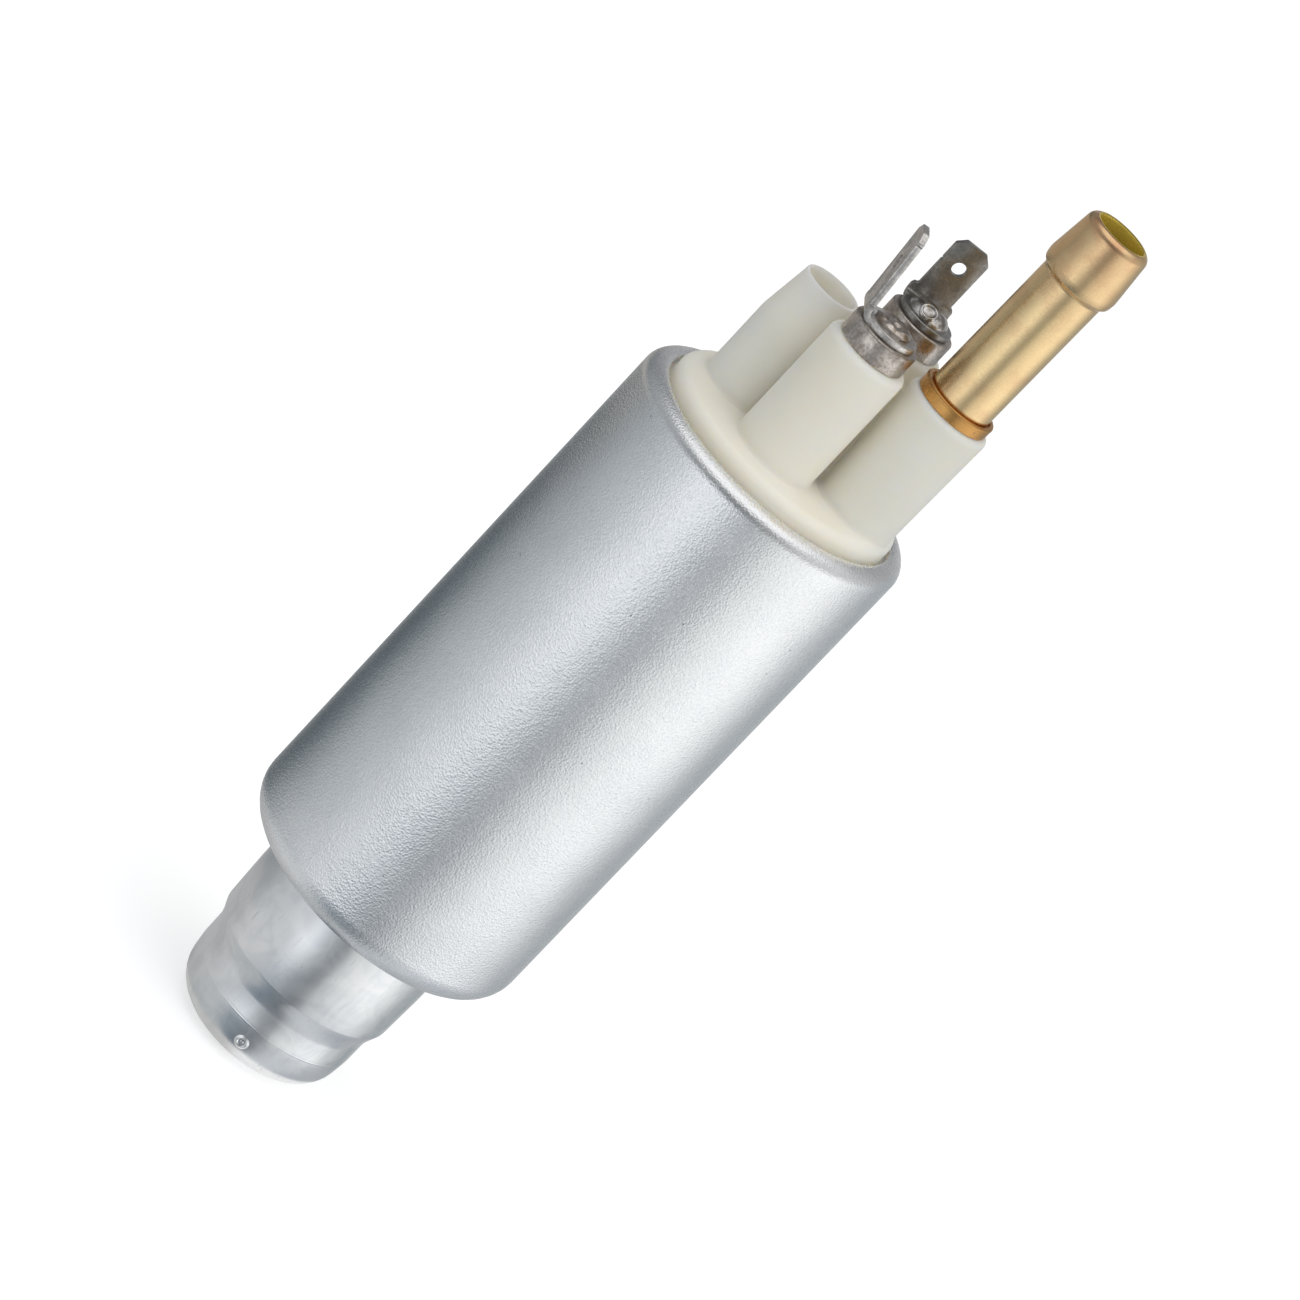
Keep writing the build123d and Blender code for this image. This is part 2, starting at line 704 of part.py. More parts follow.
def check_valve_poppet():
    """Poppet that closes the outlet hole, with a guide below and a stem in the spring."""
    guide = raised(hidden_round(CHECK_NOSE_R), OUTLET_SEAT_Z - CHECK_GUIDE_H, OUTLET_SEAT_Z + SEAT_GAP)
    disc = raised(hidden_round(CHECK_HEAD_R), OUTLET_SEAT_Z + SEAT_GAP, CHECK_RIM_Z)
    stem = raised(hidden_round(CHECK_STEM_R), CHECK_RIM_Z, CHECK_RIM_Z + VALVE_STEM_H)
    return at_outlet(guide + disc + stem)


def check_valve_spring():
    """Spring that holds the poppet on its seat, backed by the nozzle's spigot."""
    return at_outlet(
        coil_spring(CHECK_SPRING_R, VALVE_SPRING_TURNS, CHECK_RIM_Z, NOZZLE_FOOT_Z)
    )


# Relief valve in the stub


def relief_valve_plunger():
    """Flat plunger that closes the relief hole, with a stem inside the spring."""
    disc = raised(hidden_round(RELIEF_HEAD_R), STUB_SEAT_Z + SEAT_GAP, RELIEF_RIM_Z)
    stem = raised(hidden_round(RELIEF_STEM_R), RELIEF_RIM_Z, RELIEF_RIM_Z + VALVE_STEM_H)
    return at_stub(disc + stem)


def relief_valve_retainer():
    """Pressed ring that backs the relief spring."""
    top_z = RELIEF_RETAINER_Z + RELIEF_RETAINER_H
    return at_stub(hidden_ring(RELIEF_SEAT_R, STUB_BORE_R, RELIEF_RETAINER_Z, top_z))


def relief_valve_spring():
    """Spring that sets the relief pressure."""
    return at_stub(
        coil_spring(RELIEF_SPRING_R, VALVE_SPRING_TURNS, RELIEF_RIM_Z, RELIEF_RETAINER_Z)
    )


NODES = {
    "can": can,
    "inlet_cup": inlet_cup,
    "inlet_port_plate": inlet_port_plate,
    "cam_ring": cam_ring,
    "outlet_port_plate": outlet_port_plate,
    "pump_dowels": pump_dowels,
    "inner_rotor": inner_rotor,
    "outer_rotor": outer_rotor,
    "drive_coupling": drive_coupling,
    "shaft": shaft,
    "lamination_stack": lamination_stack,
    "windings": windings,
    "commutator_hub": commutator_hub,
    "commutator_segments": commutator_segments,
    "upper_bearing": upper_bearing,
    "flux_ring": flux_ring,
    "left_magnet": lambda: magnet(270),
    "right_magnet": lambda: magnet(90),
    "magnet_clips": magnet_clips,
    "head_seal": head_seal,
    "head": head,
    "outlet_barb": outlet_barb,
    "front_terminal_bush": lambda: terminal_bush(-1),
    "rear_terminal_bush": lambda: terminal_bush(1),
    "front_terminal": lambda: terminal(
        -1,
        FRONT_TAB_TURN,
        FRONT_TAB_H,
        FRONT_TAB_OFFSET,
        FRONT_SHOULDER_WIDTH,
        FRONT_HOLE_DROP,
        FRONT_TAB_LEAN,
    ),
    "rear_terminal": lambda: terminal(
        1, REAR_TAB_TURN, REAR_TAB_H, REAR_TAB_OFFSET, REAR_SHOULDER_WIDTH, REAR_HOLE_DROP
    ),
    "front_rivet": lambda: rivet(-1, FRONT_RIVET_HEAD_H),
    "rear_rivet": lambda: rivet(1, REAR_RIVET_HEAD_H),
    "front_brush": lambda: brush(-1),
    "rear_brush": lambda: brush(1),
    "front_brush_lead": lambda: brush_lead(-1),
    "rear_brush_lead": lambda: brush_lead(1),
    "front_brush_spring": lambda: brush_spring(-1),
    "rear_brush_spring": lambda: brush_spring(1),
    "check_valve_poppet": check_valve_poppet,
    "check_valve_spring": check_valve_spring,
    "relief_valve_plunger": relief_valve_plunger,
    "relief_valve_retainer": relief_valve_retainer,
    "relief_valve_spring": relief_valve_spring,
}


def main():
    """Write each piece to its own file."""
    os.makedirs("parts", exist_ok=True)
    for name, make in NODES.items():
        export_step(make(), f"parts/{name}.step")


if __name__ == "__main__":
    main()
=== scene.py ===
"""Electric fuel pump, dressed for the studio.

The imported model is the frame. The pieces that show outside are modelled here with their
true roundings, tapers and small marks, the pieces inside the can keep their solids and
get their finishes, and a camera with a pale studio stands round them.
"""

import json
import logging
from contextlib import contextmanager
from dataclasses import dataclass
from enum import Enum
from math import atan2, ceil, cos, degrees, hypot, pi, radians, sin, tan
from typing import Any, Callable, Iterator, Sequence

import bmesh
import bpy
from mathutils import Matrix, Vector


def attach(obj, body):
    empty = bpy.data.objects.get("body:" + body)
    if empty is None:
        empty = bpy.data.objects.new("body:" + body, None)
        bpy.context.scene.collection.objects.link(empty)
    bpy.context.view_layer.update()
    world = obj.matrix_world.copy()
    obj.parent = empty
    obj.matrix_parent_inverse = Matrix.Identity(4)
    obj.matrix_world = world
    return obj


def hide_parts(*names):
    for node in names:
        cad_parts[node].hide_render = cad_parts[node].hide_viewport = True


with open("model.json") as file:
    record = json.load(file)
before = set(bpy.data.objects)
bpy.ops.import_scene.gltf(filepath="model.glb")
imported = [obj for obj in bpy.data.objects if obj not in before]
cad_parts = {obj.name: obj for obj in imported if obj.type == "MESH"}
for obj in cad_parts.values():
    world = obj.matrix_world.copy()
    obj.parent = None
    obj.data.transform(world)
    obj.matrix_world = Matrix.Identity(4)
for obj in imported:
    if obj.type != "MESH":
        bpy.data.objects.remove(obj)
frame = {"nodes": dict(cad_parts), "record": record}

MM = 0.001
CHORD_DEGREES = 12
MERGE_GAP = 0.001 * MM
LOG = logging.getLogger("fuel_pump")

Triple = tuple[float, float, float]
Colour = Triple


# Outlines


@dataclass(frozen=True)
class Corner:
    """One corner of a turned outline: radius, height and rounding, in millimetres."""

    r: float
    z: float
    rounding: float = 0.0


def rounded(corners: Sequence[Corner]) -> list[Vector]:
    """Points of a closed outline whose corners are rounded by true arcs.

    Args:
        corners: The outline's corners in order.

    Returns:
        Points of (radius, height), in millimetres, without the closing point.
    """
    points: list[Vector] = []
    for i, corner in enumerate(corners):
        here = Vector((corner.r, corner.z))
        if corner.rounding == 0:
            points.append(here)
            continue
        last, next_one = corners[i - 1], corners[(i + 1) % len(corners)]
        before = (Vector((last.r, last.z)) - here).normalized()
        after = (Vector((next_one.r, next_one.z)) - here).normalized()
        half = before.angle(after) / 2
        centre = here + (before + after).normalized() * (corner.rounding / sin(half))
        reach = corner.rounding / tan(half)
        points += arc(centre, here + before * reach, here + after * reach)
    return points


def arc(centre: Vector, start: Vector, end: Vector) -> list[Vector]:
    """Points of the shorter arc about a centre, one to each chord's span.

    Args:
        centre: The arc's centre.
        start: Its first point.
        end: Its last point.

    Returns:
        The points, with both ends.
    """
    radius = (start - centre).length
    first = atan2(start.y - centre.y, start.x - centre.x)
    turn = atan2(end.y - centre.y, end.x - centre.x) - first
    turn = (turn + pi) % (2 * pi) - pi
    chords = max(2, ceil(abs(degrees(turn)) / CHORD_DEGREES))
    angles = [first + turn * k / chords for k in range(chords + 1)]
    return [centre + radius * Vector((cos(a), sin(a))) for a in angles]


# Workbench


class Join(Enum):
    """Ways to combine a piece with another shape."""

    ADD = "UNION"
    CUT = "DIFFERENCE"


class Workbench:
    """The modelling steps that every piece shares, each one an edit-mode operator."""

    @staticmethod
    def activate(piece: bpy.types.Object) -> None:
        """Deselect everything, then select a piece and make it active.

        Args:
            piece: The piece to select.
        """
        bpy.ops.object.select_all(action="DESELECT")
        piece.select_set(True)
        bpy.context.view_layer.objects.active = piece

    @staticmethod
    @contextmanager
    def editing(piece: bpy.types.Object) -> Iterator[None]:
        """Work on a piece in edit mode, with nothing of it selected.

        Args:
            piece: The piece that is worked on.

        Yields:
            Nothing; object mode is back when the block ends.
        """
        Workbench.activate(piece)
        bpy.ops.object.mode_set(mode="EDIT")
        bpy.ops.mesh.select_mode(type="VERT")
        bpy.ops.mesh.select_all(action="DESELECT")
        yield
        bpy.ops.object.mode_set(mode="OBJECT")

    @staticmethod
    def pick(piece: bpy.types.Object, wanted: Callable[[Vector], bool]) -> None:
        """Select the vertices of a piece in edit mode by their place, in millimetres.

        Args:
            piece: The piece that is worked on.
            wanted: Tells whether a place is wanted.
        """
        mesh = bmesh.from_edit_mesh(piece.data)
        for vertex in mesh.verts:
            vertex.select = wanted(vertex.co / MM)
        mesh.select_flush_mode()
        bmesh.update_edit_mesh(piece.data)

    @staticmethod
    def seed(name: str, place: Triple) -> bpy.types.Object:
        """Start a piece as one vertex, from a primitive merged at its centre.

        Args:
            name: The piece's name.
            place: Where the vertex stands, in millimetres.

        Returns:
            The new object, in edit mode with its vertex selected.
        """
        bpy.ops.object.select_all(action="DESELECT")
        bpy.ops.mesh.primitive_plane_add(size=MM, location=(0, 0, 0))
        piece = bpy.context.active_object
        piece.name = piece.data.name = name
        bpy.ops.object.mode_set(mode="EDIT")
        bpy.ops.mesh.select_mode(type="VERT")
        bpy.ops.mesh.select_all(action="SELECT")
        bpy.ops.mesh.merge(type="CENTER")
        bpy.ops.transform.translate(value=[value * MM for value in place])
        return piece

    @staticmethod
    def turned(name: str, corners: Sequence[Corner], steps: int = 96) -> bpy.types.Object:
        """Turn a closed outline about Z, as on a lathe.

        Args:
            name: The piece's name.
            corners: The outline; it may touch the axis.
            steps: Facets round the piece.

        Returns:
            The closed, outward-facing piece, on the pump's axis.
        """
        points = rounded(corners)
        piece = Workbench.seed(name, (points[0].x, 0, points[0].y))
        for here, there in zip(points, points[1:] + points[:1]):
            step = (there - here) * MM
            move = {"value": (step.x, 0, step.y)}
            bpy.ops.mesh.extrude_vertices_move(TRANSFORM_OT_translate=move)
        bpy.ops.mesh.select_all(action="SELECT")
        bpy.ops.mesh.spin(steps=steps, angle=2 * pi, center=(0, 0, 0), axis=(0, 0, 1))
        bpy.ops.mesh.select_all(action="SELECT")
        bpy.ops.mesh.remove_doubles(threshold=MERGE_GAP)
        bpy.ops.mesh.dissolve_degenerate(threshold=MERGE_GAP)
        Workbench.close_edit()
        return piece

    @staticmethod
    def close_edit() -> None:
        """Turn every face outwards and leave edit mode."""
        bpy.ops.mesh.select_all(action="SELECT")
        bpy.ops.mesh.normals_make_consistent(inside=False)
        bpy.ops.object.mode_set(mode="OBJECT")

    @staticmethod
    def rod(name: str, radius: float, low: float, high: float, steps: int) -> bpy.types.Object:
        """Turn a plain rod that only cuts a round hole, from one height to another."""
        outline = [Corner(0, low), Corner(radius, low), Corner(radius, high), Corner(0, high)]
        return Workbench.turned(name, outline, steps)

    @staticmethod
    def block(name: str, size: Triple, centre: Triple) -> bpy.types.Object:
        """Box that only cuts other pieces, in millimetres.

        Args:
            name: The box's name.
            size: Its size along the three axes.
            centre: Where its middle is.

        Returns:
            The box.
        """
        bpy.ops.object.select_all(action="DESELECT")
        bpy.ops.mesh.primitive_cube_add(size=MM, location=[value * MM for value in centre])
        piece = bpy.context.active_object
        piece.name = name
        piece.scale = size
        return Workbench.settle(piece)

    @staticmethod
    def settle(piece: bpy.types.Object) -> bpy.types.Object:
        """Apply a piece's place, turn and size to its mesh.

        Args:
            piece: The piece that is worked on.

        Returns:
            The same piece.
        """
        Workbench.activate(piece)
        bpy.ops.object.transform_apply(location=True, rotation=True, scale=True)
        return piece

    @staticmethod
    def twin(piece: bpy.types.Object, name: str) -> bpy.types.Object:
        """Copy a piece, with a mesh of its own.

        Args:
            piece: The piece to copy.
            name: The copy's name.

        Returns:
            The copy.
        """
        Workbench.activate(piece)
        bpy.ops.object.duplicate(linked=False)
        copied = bpy.context.active_object
        copied.name = copied.data.name = name
        return copied

    @staticmethod
    def place(
        piece: bpy.types.Object, at: Triple, turn: float = 0.0, tip: float = 0.0
    ) -> bpy.types.Object:
        """Carry a piece to its place and leave its object at the origin.

        Args:
            piece: The piece, modelled at the origin.
            at: Where its origin goes, in millimetres.
            turn: Turn about Z, in degrees.
            tip: Tilt about its own Y before the turn, in degrees.

        Returns:
            The same piece.
        """
        piece.rotation_euler = (0, radians(tip), radians(turn))
        piece.location = Vector(at) * MM
        return Workbench.settle(piece)

    @staticmethod
    def combine(piece: bpy.types.Object, other: bpy.types.Object, how: Join) -> bpy.types.Object:
        """Add another shape to a piece or cut it away; the other is used up.

        Args:
            piece: The piece that is worked on.
            other: The other shape.
            how: Whether it is added or cut away.

        Returns:
            The same piece.
        """
        Workbench.modify(piece, "BOOLEAN", operation=how.value, solver="EXACT", object=other)
        mesh = other.data
        bpy.data.objects.remove(other)
        bpy.data.meshes.remove(mesh)
        return piece

    @staticmethod
    def modify(piece: bpy.types.Object, kind: str, **settings: Any) -> None:
        """Give a piece a modifier and apply it.

        Args:
            piece: The piece that is worked on.
            kind: The modifier's type.
            **settings: Its properties.
        """
        step = piece.modifiers.new(kind, kind)
        for key, value in settings.items():
            setattr(step, key, value)
        Workbench.activate(piece)
        bpy.ops.object.modifier_apply(modifier=step.name)

    @staticmethod
    def smooth(piece: bpy.types.Object, angle: float = 32.0) -> bpy.types.Object:
        """Shade a piece smooth, with edges kept sharp past an angle in degrees.

        Args:
            piece: The piece that is worked on.
            angle: The angle between faces from which an edge stays sharp.

        Returns:
            The same piece.
        """
        Workbench.activate(piece)
        bpy.ops.object.shade_smooth_by_angle(angle=radians(angle))
        return piece

    @staticmethod
    def merge_in(piece: bpy.types.Object, other: bpy.types.Object) -> None:
        """Join another piece's mesh to a piece, as a shell of its own.

        Args:
            piece: The piece that is worked on.
            other: The piece that is joined to it.
        """
        Workbench.activate(piece)
        other.select_set(True)
        bpy.ops.object.join()


# Shader graphs


class Signal:
    """A node's output socket; Python's operators add Math nodes."""

    def __init__(self, graph: "Graph", socket: bpy.types.NodeSocket) -> None:
        """Wrap a socket of a graph."""
        self.graph = graph
        self.socket = socket

    def _math(self, operation: str, first: Any, second: Any) -> "Signal":
        """Math node of two values."""
        return self.graph.add("ShaderNodeMath", {"operation": operation}, {0: first, 1: second})

    def __add__(self, other: Any) -> "Signal":
        """Sum."""
        return self._math("ADD", self, other)

    def __radd__(self, other: Any) -> "Signal":
        """Sum with a number first."""
        return self._math("ADD", other, self)

    def __sub__(self, other: Any) -> "Signal":
        """Difference."""
        return self._math("SUBTRACT", self, other)

    def __rsub__(self, other: Any) -> "Signal":
        """Difference with a number first."""
        return self._math("SUBTRACT", other, self)

    def __mul__(self, other: Any) -> "Signal":
        """Product."""
        return self._math("MULTIPLY", self, other)

    def __rmul__(self, other: Any) -> "Signal":
        """Product with a number first."""
        return self._math("MULTIPLY", other, self)

    def __truediv__(self, other: Any) -> "Signal":
        """Quotient."""
        return self._math("DIVIDE", self, other)

    def __pow__(self, other: Any) -> "Signal":
        """Power."""
        return self._math("POWER", self, other)

    def __lt__(self, other: Any) -> "Signal":
        """One where the value is less, else zero."""
        return self._math("LESS_THAN", self, other)

    def between(self, low: float, high: float) -> "Signal":
        """Smooth rise from 0 at low to 1 at high."""
        inputs = {"Value": self, "From Min": low, "From Max": high}
        return self.graph.add("ShaderNodeMapRange", {"interpolation_type": "SMOOTHSTEP"}, inputs)


class Graph:
    """A node tree under construction."""

    def __init__(self, tree: bpy.types.NodeTree) -> None:
        """Start an empty graph in a tree."""
        self.tree = tree
        tree.nodes.clear()

    def add(
        self,
        kind: str,
        settings: dict[str, Any] | None = None,
        inputs: dict[Any, Any] | None = None,
        output: Any = 0,
    ) -> Signal:
        """Add a node: its settings first, then its sockets' values and links.

        Args:
            kind: The node's type.
            settings: Its properties; "stops" fills a colour ramp.
            inputs: Values or signals by socket name or number.
            output: The output that is returned, by name or number.

        Returns:
            The wanted output.
        """
        node = self.tree.nodes.new(kind)
        for key, value in (settings or {}).items():
            if key == "stops":
                self._fill_ramp(node.color_ramp, value)
            else:
                setattr(node, key, value)
        for key, value in (inputs or {}).items():
            if isinstance(value, Signal):
                self.tree.links.new(value.socket, node.inputs[key])
            else:
                node.inputs[key].default_value = value
        return Signal(self, node.outputs[output]) if node.outputs else Signal(self, node.inputs[0])

    @staticmethod
    def _fill_ramp(ramp: bpy.types.ColorRamp, stops: Sequence[tuple[float, Colour]]) -> None:
        """Give a colour ramp its stops of (place, colour).

        Args:
            ramp: The ramp.
            stops: Its stops in order.
        """
        while len(ramp.elements) > 1:
            ramp.elements.remove(ramp.elements[-1])
        ramp.elements[0].position = stops[0][0]
        ramp.elements[0].color = (*stops[0][1], 1)
        for place, colour in stops[1:]:
            ramp.elements.new(place).color = (*colour, 1)

    def place(self, stretch: Triple = (1, 1, 1)) -> Signal:
        """Object coordinates in millimetres, stretched along the axes.

        Args:
            stretch: Factor along each axis.

        Returns:
            The coordinates.
        """
        raw = self.add("ShaderNodeTexCoord", output="Object")
        scale = [value / MM for value in stretch]
        return self.add("ShaderNodeVectorMath", {"operation": "MULTIPLY"}, {0: raw, 1: scale})

    def axis(self, name: str) -> Signal:
        """One object coordinate in millimetres."""
        return self.add("ShaderNodeSeparateXYZ", inputs={0: self.place()}, output=name)

    def noise(
        self, scale: float, detail: float = 2.0, stretch: Triple = (1, 1, 1), **more: float
    ) -> Signal:
        """Noise between about 0 and 1, with scale in waves per millimetre.

        Args:
            scale: Waves per millimetre.
            detail: Octaves.
            stretch: Factor of the pattern along each axis.
            **more: More of the node's sockets, such as roughness.

        Returns:
            The noise.
        """
        inputs = {"Vector": self.place(stretch), "Scale": scale, "Detail": detail}
        inputs.update({key.capitalize(): value for key, value in more.items()})
        return self.add("ShaderNodeTexNoise", inputs=inputs, output=0)

    def cells(self, scale: float, output: str = "Distance") -> Signal:
        """Voronoi cells, with scale in cells per millimetre."""
        inputs = {"Vector": self.place(), "Scale": scale}
        return self.add("ShaderNodeTexVoronoi", inputs=inputs, output=output)

    def specks(self, scale: float, size: float, share: float) -> Signal:
        """Mask of small dark specks: one where a speck is.

        Args:
            scale: Cells per millimetre.
            size: A speck's radius, in cells.
            share: The share of cells that hold one.

        Returns:
            The mask.
        """
        pick = self.add("ShaderNodeSeparateColor", inputs={0: self.cells(scale, "Color")}, output=0)
        return (self.cells(scale) < size) * (pick < share)

    def mix(self, amount: Any, low: Any, high: Any) -> Signal:
        """Mix of two colours.

        Args:
            amount: Share of the second.
            low: The first colour.
            high: The second colour.

        Returns:
            The mixed colour.
        """
        settings = {"data_type": "RGBA"}
        opaque = [(*c, 1) if isinstance(c, tuple) else c for c in (low, high)]
        return self.add("ShaderNodeMix", settings, {0: amount, 6: opaque[0], 7: opaque[1]}, 2)

    def bump(
        self, height: Signal, depth: float, strength: float = 1.0, onto: Signal | None = None
    ) -> Signal:
        """Bump whose full height is a depth in millimetres.

        Args:
            height: The pattern of heights.
            depth: Its full height in millimetres.
            strength: The node's strength.
            onto: A bump that this one is added to.

        Returns:
            The normal.
        """
        inputs: dict[str, Any] = {"Height": height, "Distance": depth * MM, "Strength": strength}
        if onto:
            inputs["Normal"] = onto
        return self.add("ShaderNodeBump", inputs=inputs)

    def light(self, colour: Any, strength: float = 1.0) -> Signal:
        """Emission of a colour."""
        level = (*colour, 1) if isinstance(colour, tuple) else colour
        return self.add("ShaderNodeEmission", inputs={"Color": level, "Strength": strength})

    def blend(self, amount: Signal, low: Signal, high: Signal) -> Signal:
        """Blend of two shaders."""
        return self.add("ShaderNodeMixShader", inputs={0: amount, 1: low, 2: high})

    def surface(self, **inputs: Any) -> None:
        """Close a material with a Principled shader, by its sockets' names.

        Args:
            **inputs: Values or signals by socket name, with _ for each space.
        """
        named = {key.replace("_", " "): value for key, value in inputs.items()}
        shader = self.add("ShaderNodeBsdfPrincipled", inputs=named)
        self.add("ShaderNodeOutputMaterial", inputs={"Surface": shader})


# Finishes


@dataclass(frozen=True)
class Finish:
    """A finish of the pump; each kind draws its own graph."""

    name: str

    def draw(self, graph: Graph) -> None:
        """Draw the material's nodes."""
        raise NotImplementedError

    @property
    def grade(self) -> str:
        """Word that tells the finish's material from the plain one of its slot."""
        return "finish"

    def material(self) -> bpy.types.Material:
        """The finish's material, made the first time it is asked for.

        Returns:
            The material.
        """
        name = f"{self.name}_{self.grade}"
        found = bpy.data.materials.get(name)
        if found is None:
            found = bpy.data.materials.new(name)
            found.use_nodes = True
            self.draw(Graph(found.node_tree))
        return found

    def on(self, piece: bpy.types.Object) -> None:
        """Put the finish on every face of a piece.

        Args:
            piece: The piece to dress.
        """
        if not piece.material_slots:
            piece.data.materials.append(None)
        for slot in piece.material_slots:
            slot.link = "DATA"
            slot.material = self.material()


@dataclass(frozen=True)
class CanSteel(Finish):
    """Zinc-coated steel with a fine pebbled grain, soft clouds and a few dark pores."""

    light: Colour = (0.95, 0.957, 0.965)
    dark: Colour = (0.80, 0.815, 0.83)
    pore: Colour = (0.16, 0.17, 0.18)
    cloud_scale: float = 0.12
    grain_scale: float = 3.2
    pebble_scale: float = 4.0
    pebble_depth: float = 0.033

    def draw(self, graph: Graph) -> None:
        """Draw the can's material.

        Args:
            graph: The material's empty graph.
        """
        clouds = graph.noise(self.cloud_scale, 4, roughness=0.6)
        grain = graph.noise(self.grain_scale, 3, roughness=0.7)
        shade = (clouds * 0.35 + grain * 0.65).between(0.32, 0.66)
        pores = graph.specks(0.42, 0.05, 0.12)
        pebbles = graph.cells(self.pebble_scale) * 0.8 + grain - pores
        graph.surface(
            Base_Color=graph.mix(pores * 0.6, graph.mix(shade, self.dark, self.light), self.pore),
            Metallic=1.0,
            Roughness=0.2 + clouds * 0.08 + grain * 0.06,
            Normal=graph.bump(pebbles, self.pebble_depth, 1.0),
        )


@dataclass(frozen=True)
class CupSteel(Finish):
    """Smoother drawn steel with faint streaks along the draw, smudges and scratches."""

    light: Colour = (0.87, 0.875, 0.88)
    dark: Colour = (0.76, 0.775, 0.79)
    scratched: Colour = (0.42, 0.43, 0.45)
    streak_scale: float = 1.2
    smudge_scale: float = 0.22
    along_draw: float = 0.05
    streak_depth: float = 0.005
    ridge_z: float = 6.2
    ridge_half: float = 0.14
    ridge_depth: float = 0.02

    def draw(self, graph: Graph) -> None:
        """Draw the cup's material.

        Args:
            graph: The material's empty graph.
        """
        streaks = graph.noise(self.streak_scale, 3, (1, 1, self.along_draw), roughness=0.6)
        smudges = graph.noise(self.smudge_scale, 3, distortion=1.6)
        shade = (streaks * 0.25 + smudges * 0.75).between(0.34, 0.62)
        hair = graph.noise(4.5, 1, (1, 0.35, self.along_draw))
        scratch = hair.between(0.69, 0.73) * smudges.between(0.5, 0.58)
        colour = graph.mix(shade, self.dark, self.light)
        height = graph.axis("Z")
        rise = height.between(self.ridge_z - self.ridge_half, self.ridge_z)
        ridge = rise * (1 - height.between(self.ridge_z, self.ridge_z + self.ridge_half))
        soft = graph.bump(streaks * 0.6 + graph.noise(3.0, 2) * 0.4, self.streak_depth, 0.8)
        graph.surface(
            Base_Color=graph.mix(scratch * 0.25, colour, self.scratched),
            Metallic=1.0,
            Roughness=0.15 + smudges * 0.12 + scratch * 0.1,
            Normal=graph.bump(ridge, self.ridge_depth, 1.0, soft),
        )


@dataclass(frozen=True)
class IvoryPlastic(Finish):
    """Off-white moulding, matt and slightly translucent, with a rare dark speck."""

    light: Colour = (0.905, 0.866, 0.772)
    warm: Colour = (0.895, 0.847, 0.738)
    speck: Colour = (0.2, 0.17, 0.13)
    cloud_scale: float = 0.16
    glow: float = 0.85
    glow_radius: Triple = (1.0, 0.85, 0.6)
    glow_depth: float = 3.0
    grain_depth: float = 0.01
    refraction: float = 1.46

    def draw(self, graph: Graph) -> None:
        """Draw the head's material.

        Args:
            graph: The material's empty graph.
        """
        clouds = graph.noise(self.cloud_scale, 3)
        colour = graph.mix(clouds.between(0.35, 0.7), self.light, self.warm)
        specks = graph.specks(0.14, 0.016, 0.35)
        graph.surface(
            Base_Color=graph.mix(specks * 0.7, colour, self.speck),
            Roughness=0.4 + graph.noise(0.7, 2) * 0.14,
            Subsurface_Weight=self.glow,
            Subsurface_Radius=self.glow_radius,
            Subsurface_Scale=self.glow_depth * MM,
            IOR=self.refraction,
            Normal=graph.bump(graph.noise(2.4, 2), self.grain_depth, 0.5),
        )


@dataclass(frozen=True)
class TurnedBrass(Finish):
    """Satin brass with turning lines, more orange on the collar, with a painted yellow reflection
    inside the bore.
    """

    tube: Colour = (0.91, 0.68, 0.37)
    tarnish: Colour = (0.74, 0.47, 0.26)
    collar: Colour = (0.64, 0.34, 0.11)
    red: Colour = (0.72, 0.36, 0.20)
    spot: Colour = (0.36, 0.20, 0.10)
    # Painted reflection: the yellow tint that stands in for the bright reflection inside the bore.
    lacquer: Colour = (0.72, 0.55, 0.09)
    grain_scale: float = 2.8
    turning_lines: Triple = (0.15, 0.15, 9.0)
    grain_depth: float = 0.014
    lean_slope: float = 0.01222
    foot_x: float = 8.752
    bore_low_r: float = 3.3
    bore_high_r: float = 3.6
    collar_top: float = 117.75
    bulge_z: float = 136.1
    rim_z: float = 143.2

    def draw(self, graph: Graph) -> None:
        """Draw the nozzle's material.

        Args:
            graph: The material's empty graph.
        """
        clouds = graph.noise(0.35, 3)
        height = graph.axis("Z")
        near_collar = 1 - height.between(self.collar_top - 0.1, self.collar_top + 0.25)
        near_bulge = height.between(self.bulge_z - 5, self.bulge_z + 4)
        near_rim = height.between(self.rim_z - 1.2, self.rim_z + 0.8)
        aged = clouds.between(0.42, 0.75) * 0.45 + near_bulge * 0.4
        colour = graph.mix(aged, self.tube, self.tarnish)
        colour = graph.mix(near_rim * clouds.between(0.35, 0.6) * 0.55, colour, self.red)
        colour = graph.mix(near_collar, colour, self.collar)
        lines = graph.noise(1.0, 2, self.turning_lines)
        grain = graph.noise(self.grain_scale, 3, roughness=0.65)
        spots = graph.specks(0.5, 0.09, 0.12)
        colour = graph.mix(spots * 0.6, colour, self.spot)
        across = graph.axis("X") - (height * self.lean_slope + self.foot_x)
        depth = graph.axis("Y")
        from_axis = (across * across + depth * depth) ** 0.5
        # Painted reflection: inside the bore the colour turns to a yellow tint at half metal,
        # standing in for the bright yellow-green reflection there.
        bore = 1 - from_axis.between(self.bore_low_r, self.bore_high_r)
        graph.surface(
            Base_Color=graph.mix(bore, colour, self.lacquer),
            Metallic=1 - bore * 0.5,
            Roughness=0.2 + grain * 0.16,
            Normal=graph.bump(lines * 0.3 + grain * 0.7, self.grain_depth, 1.0),
        )


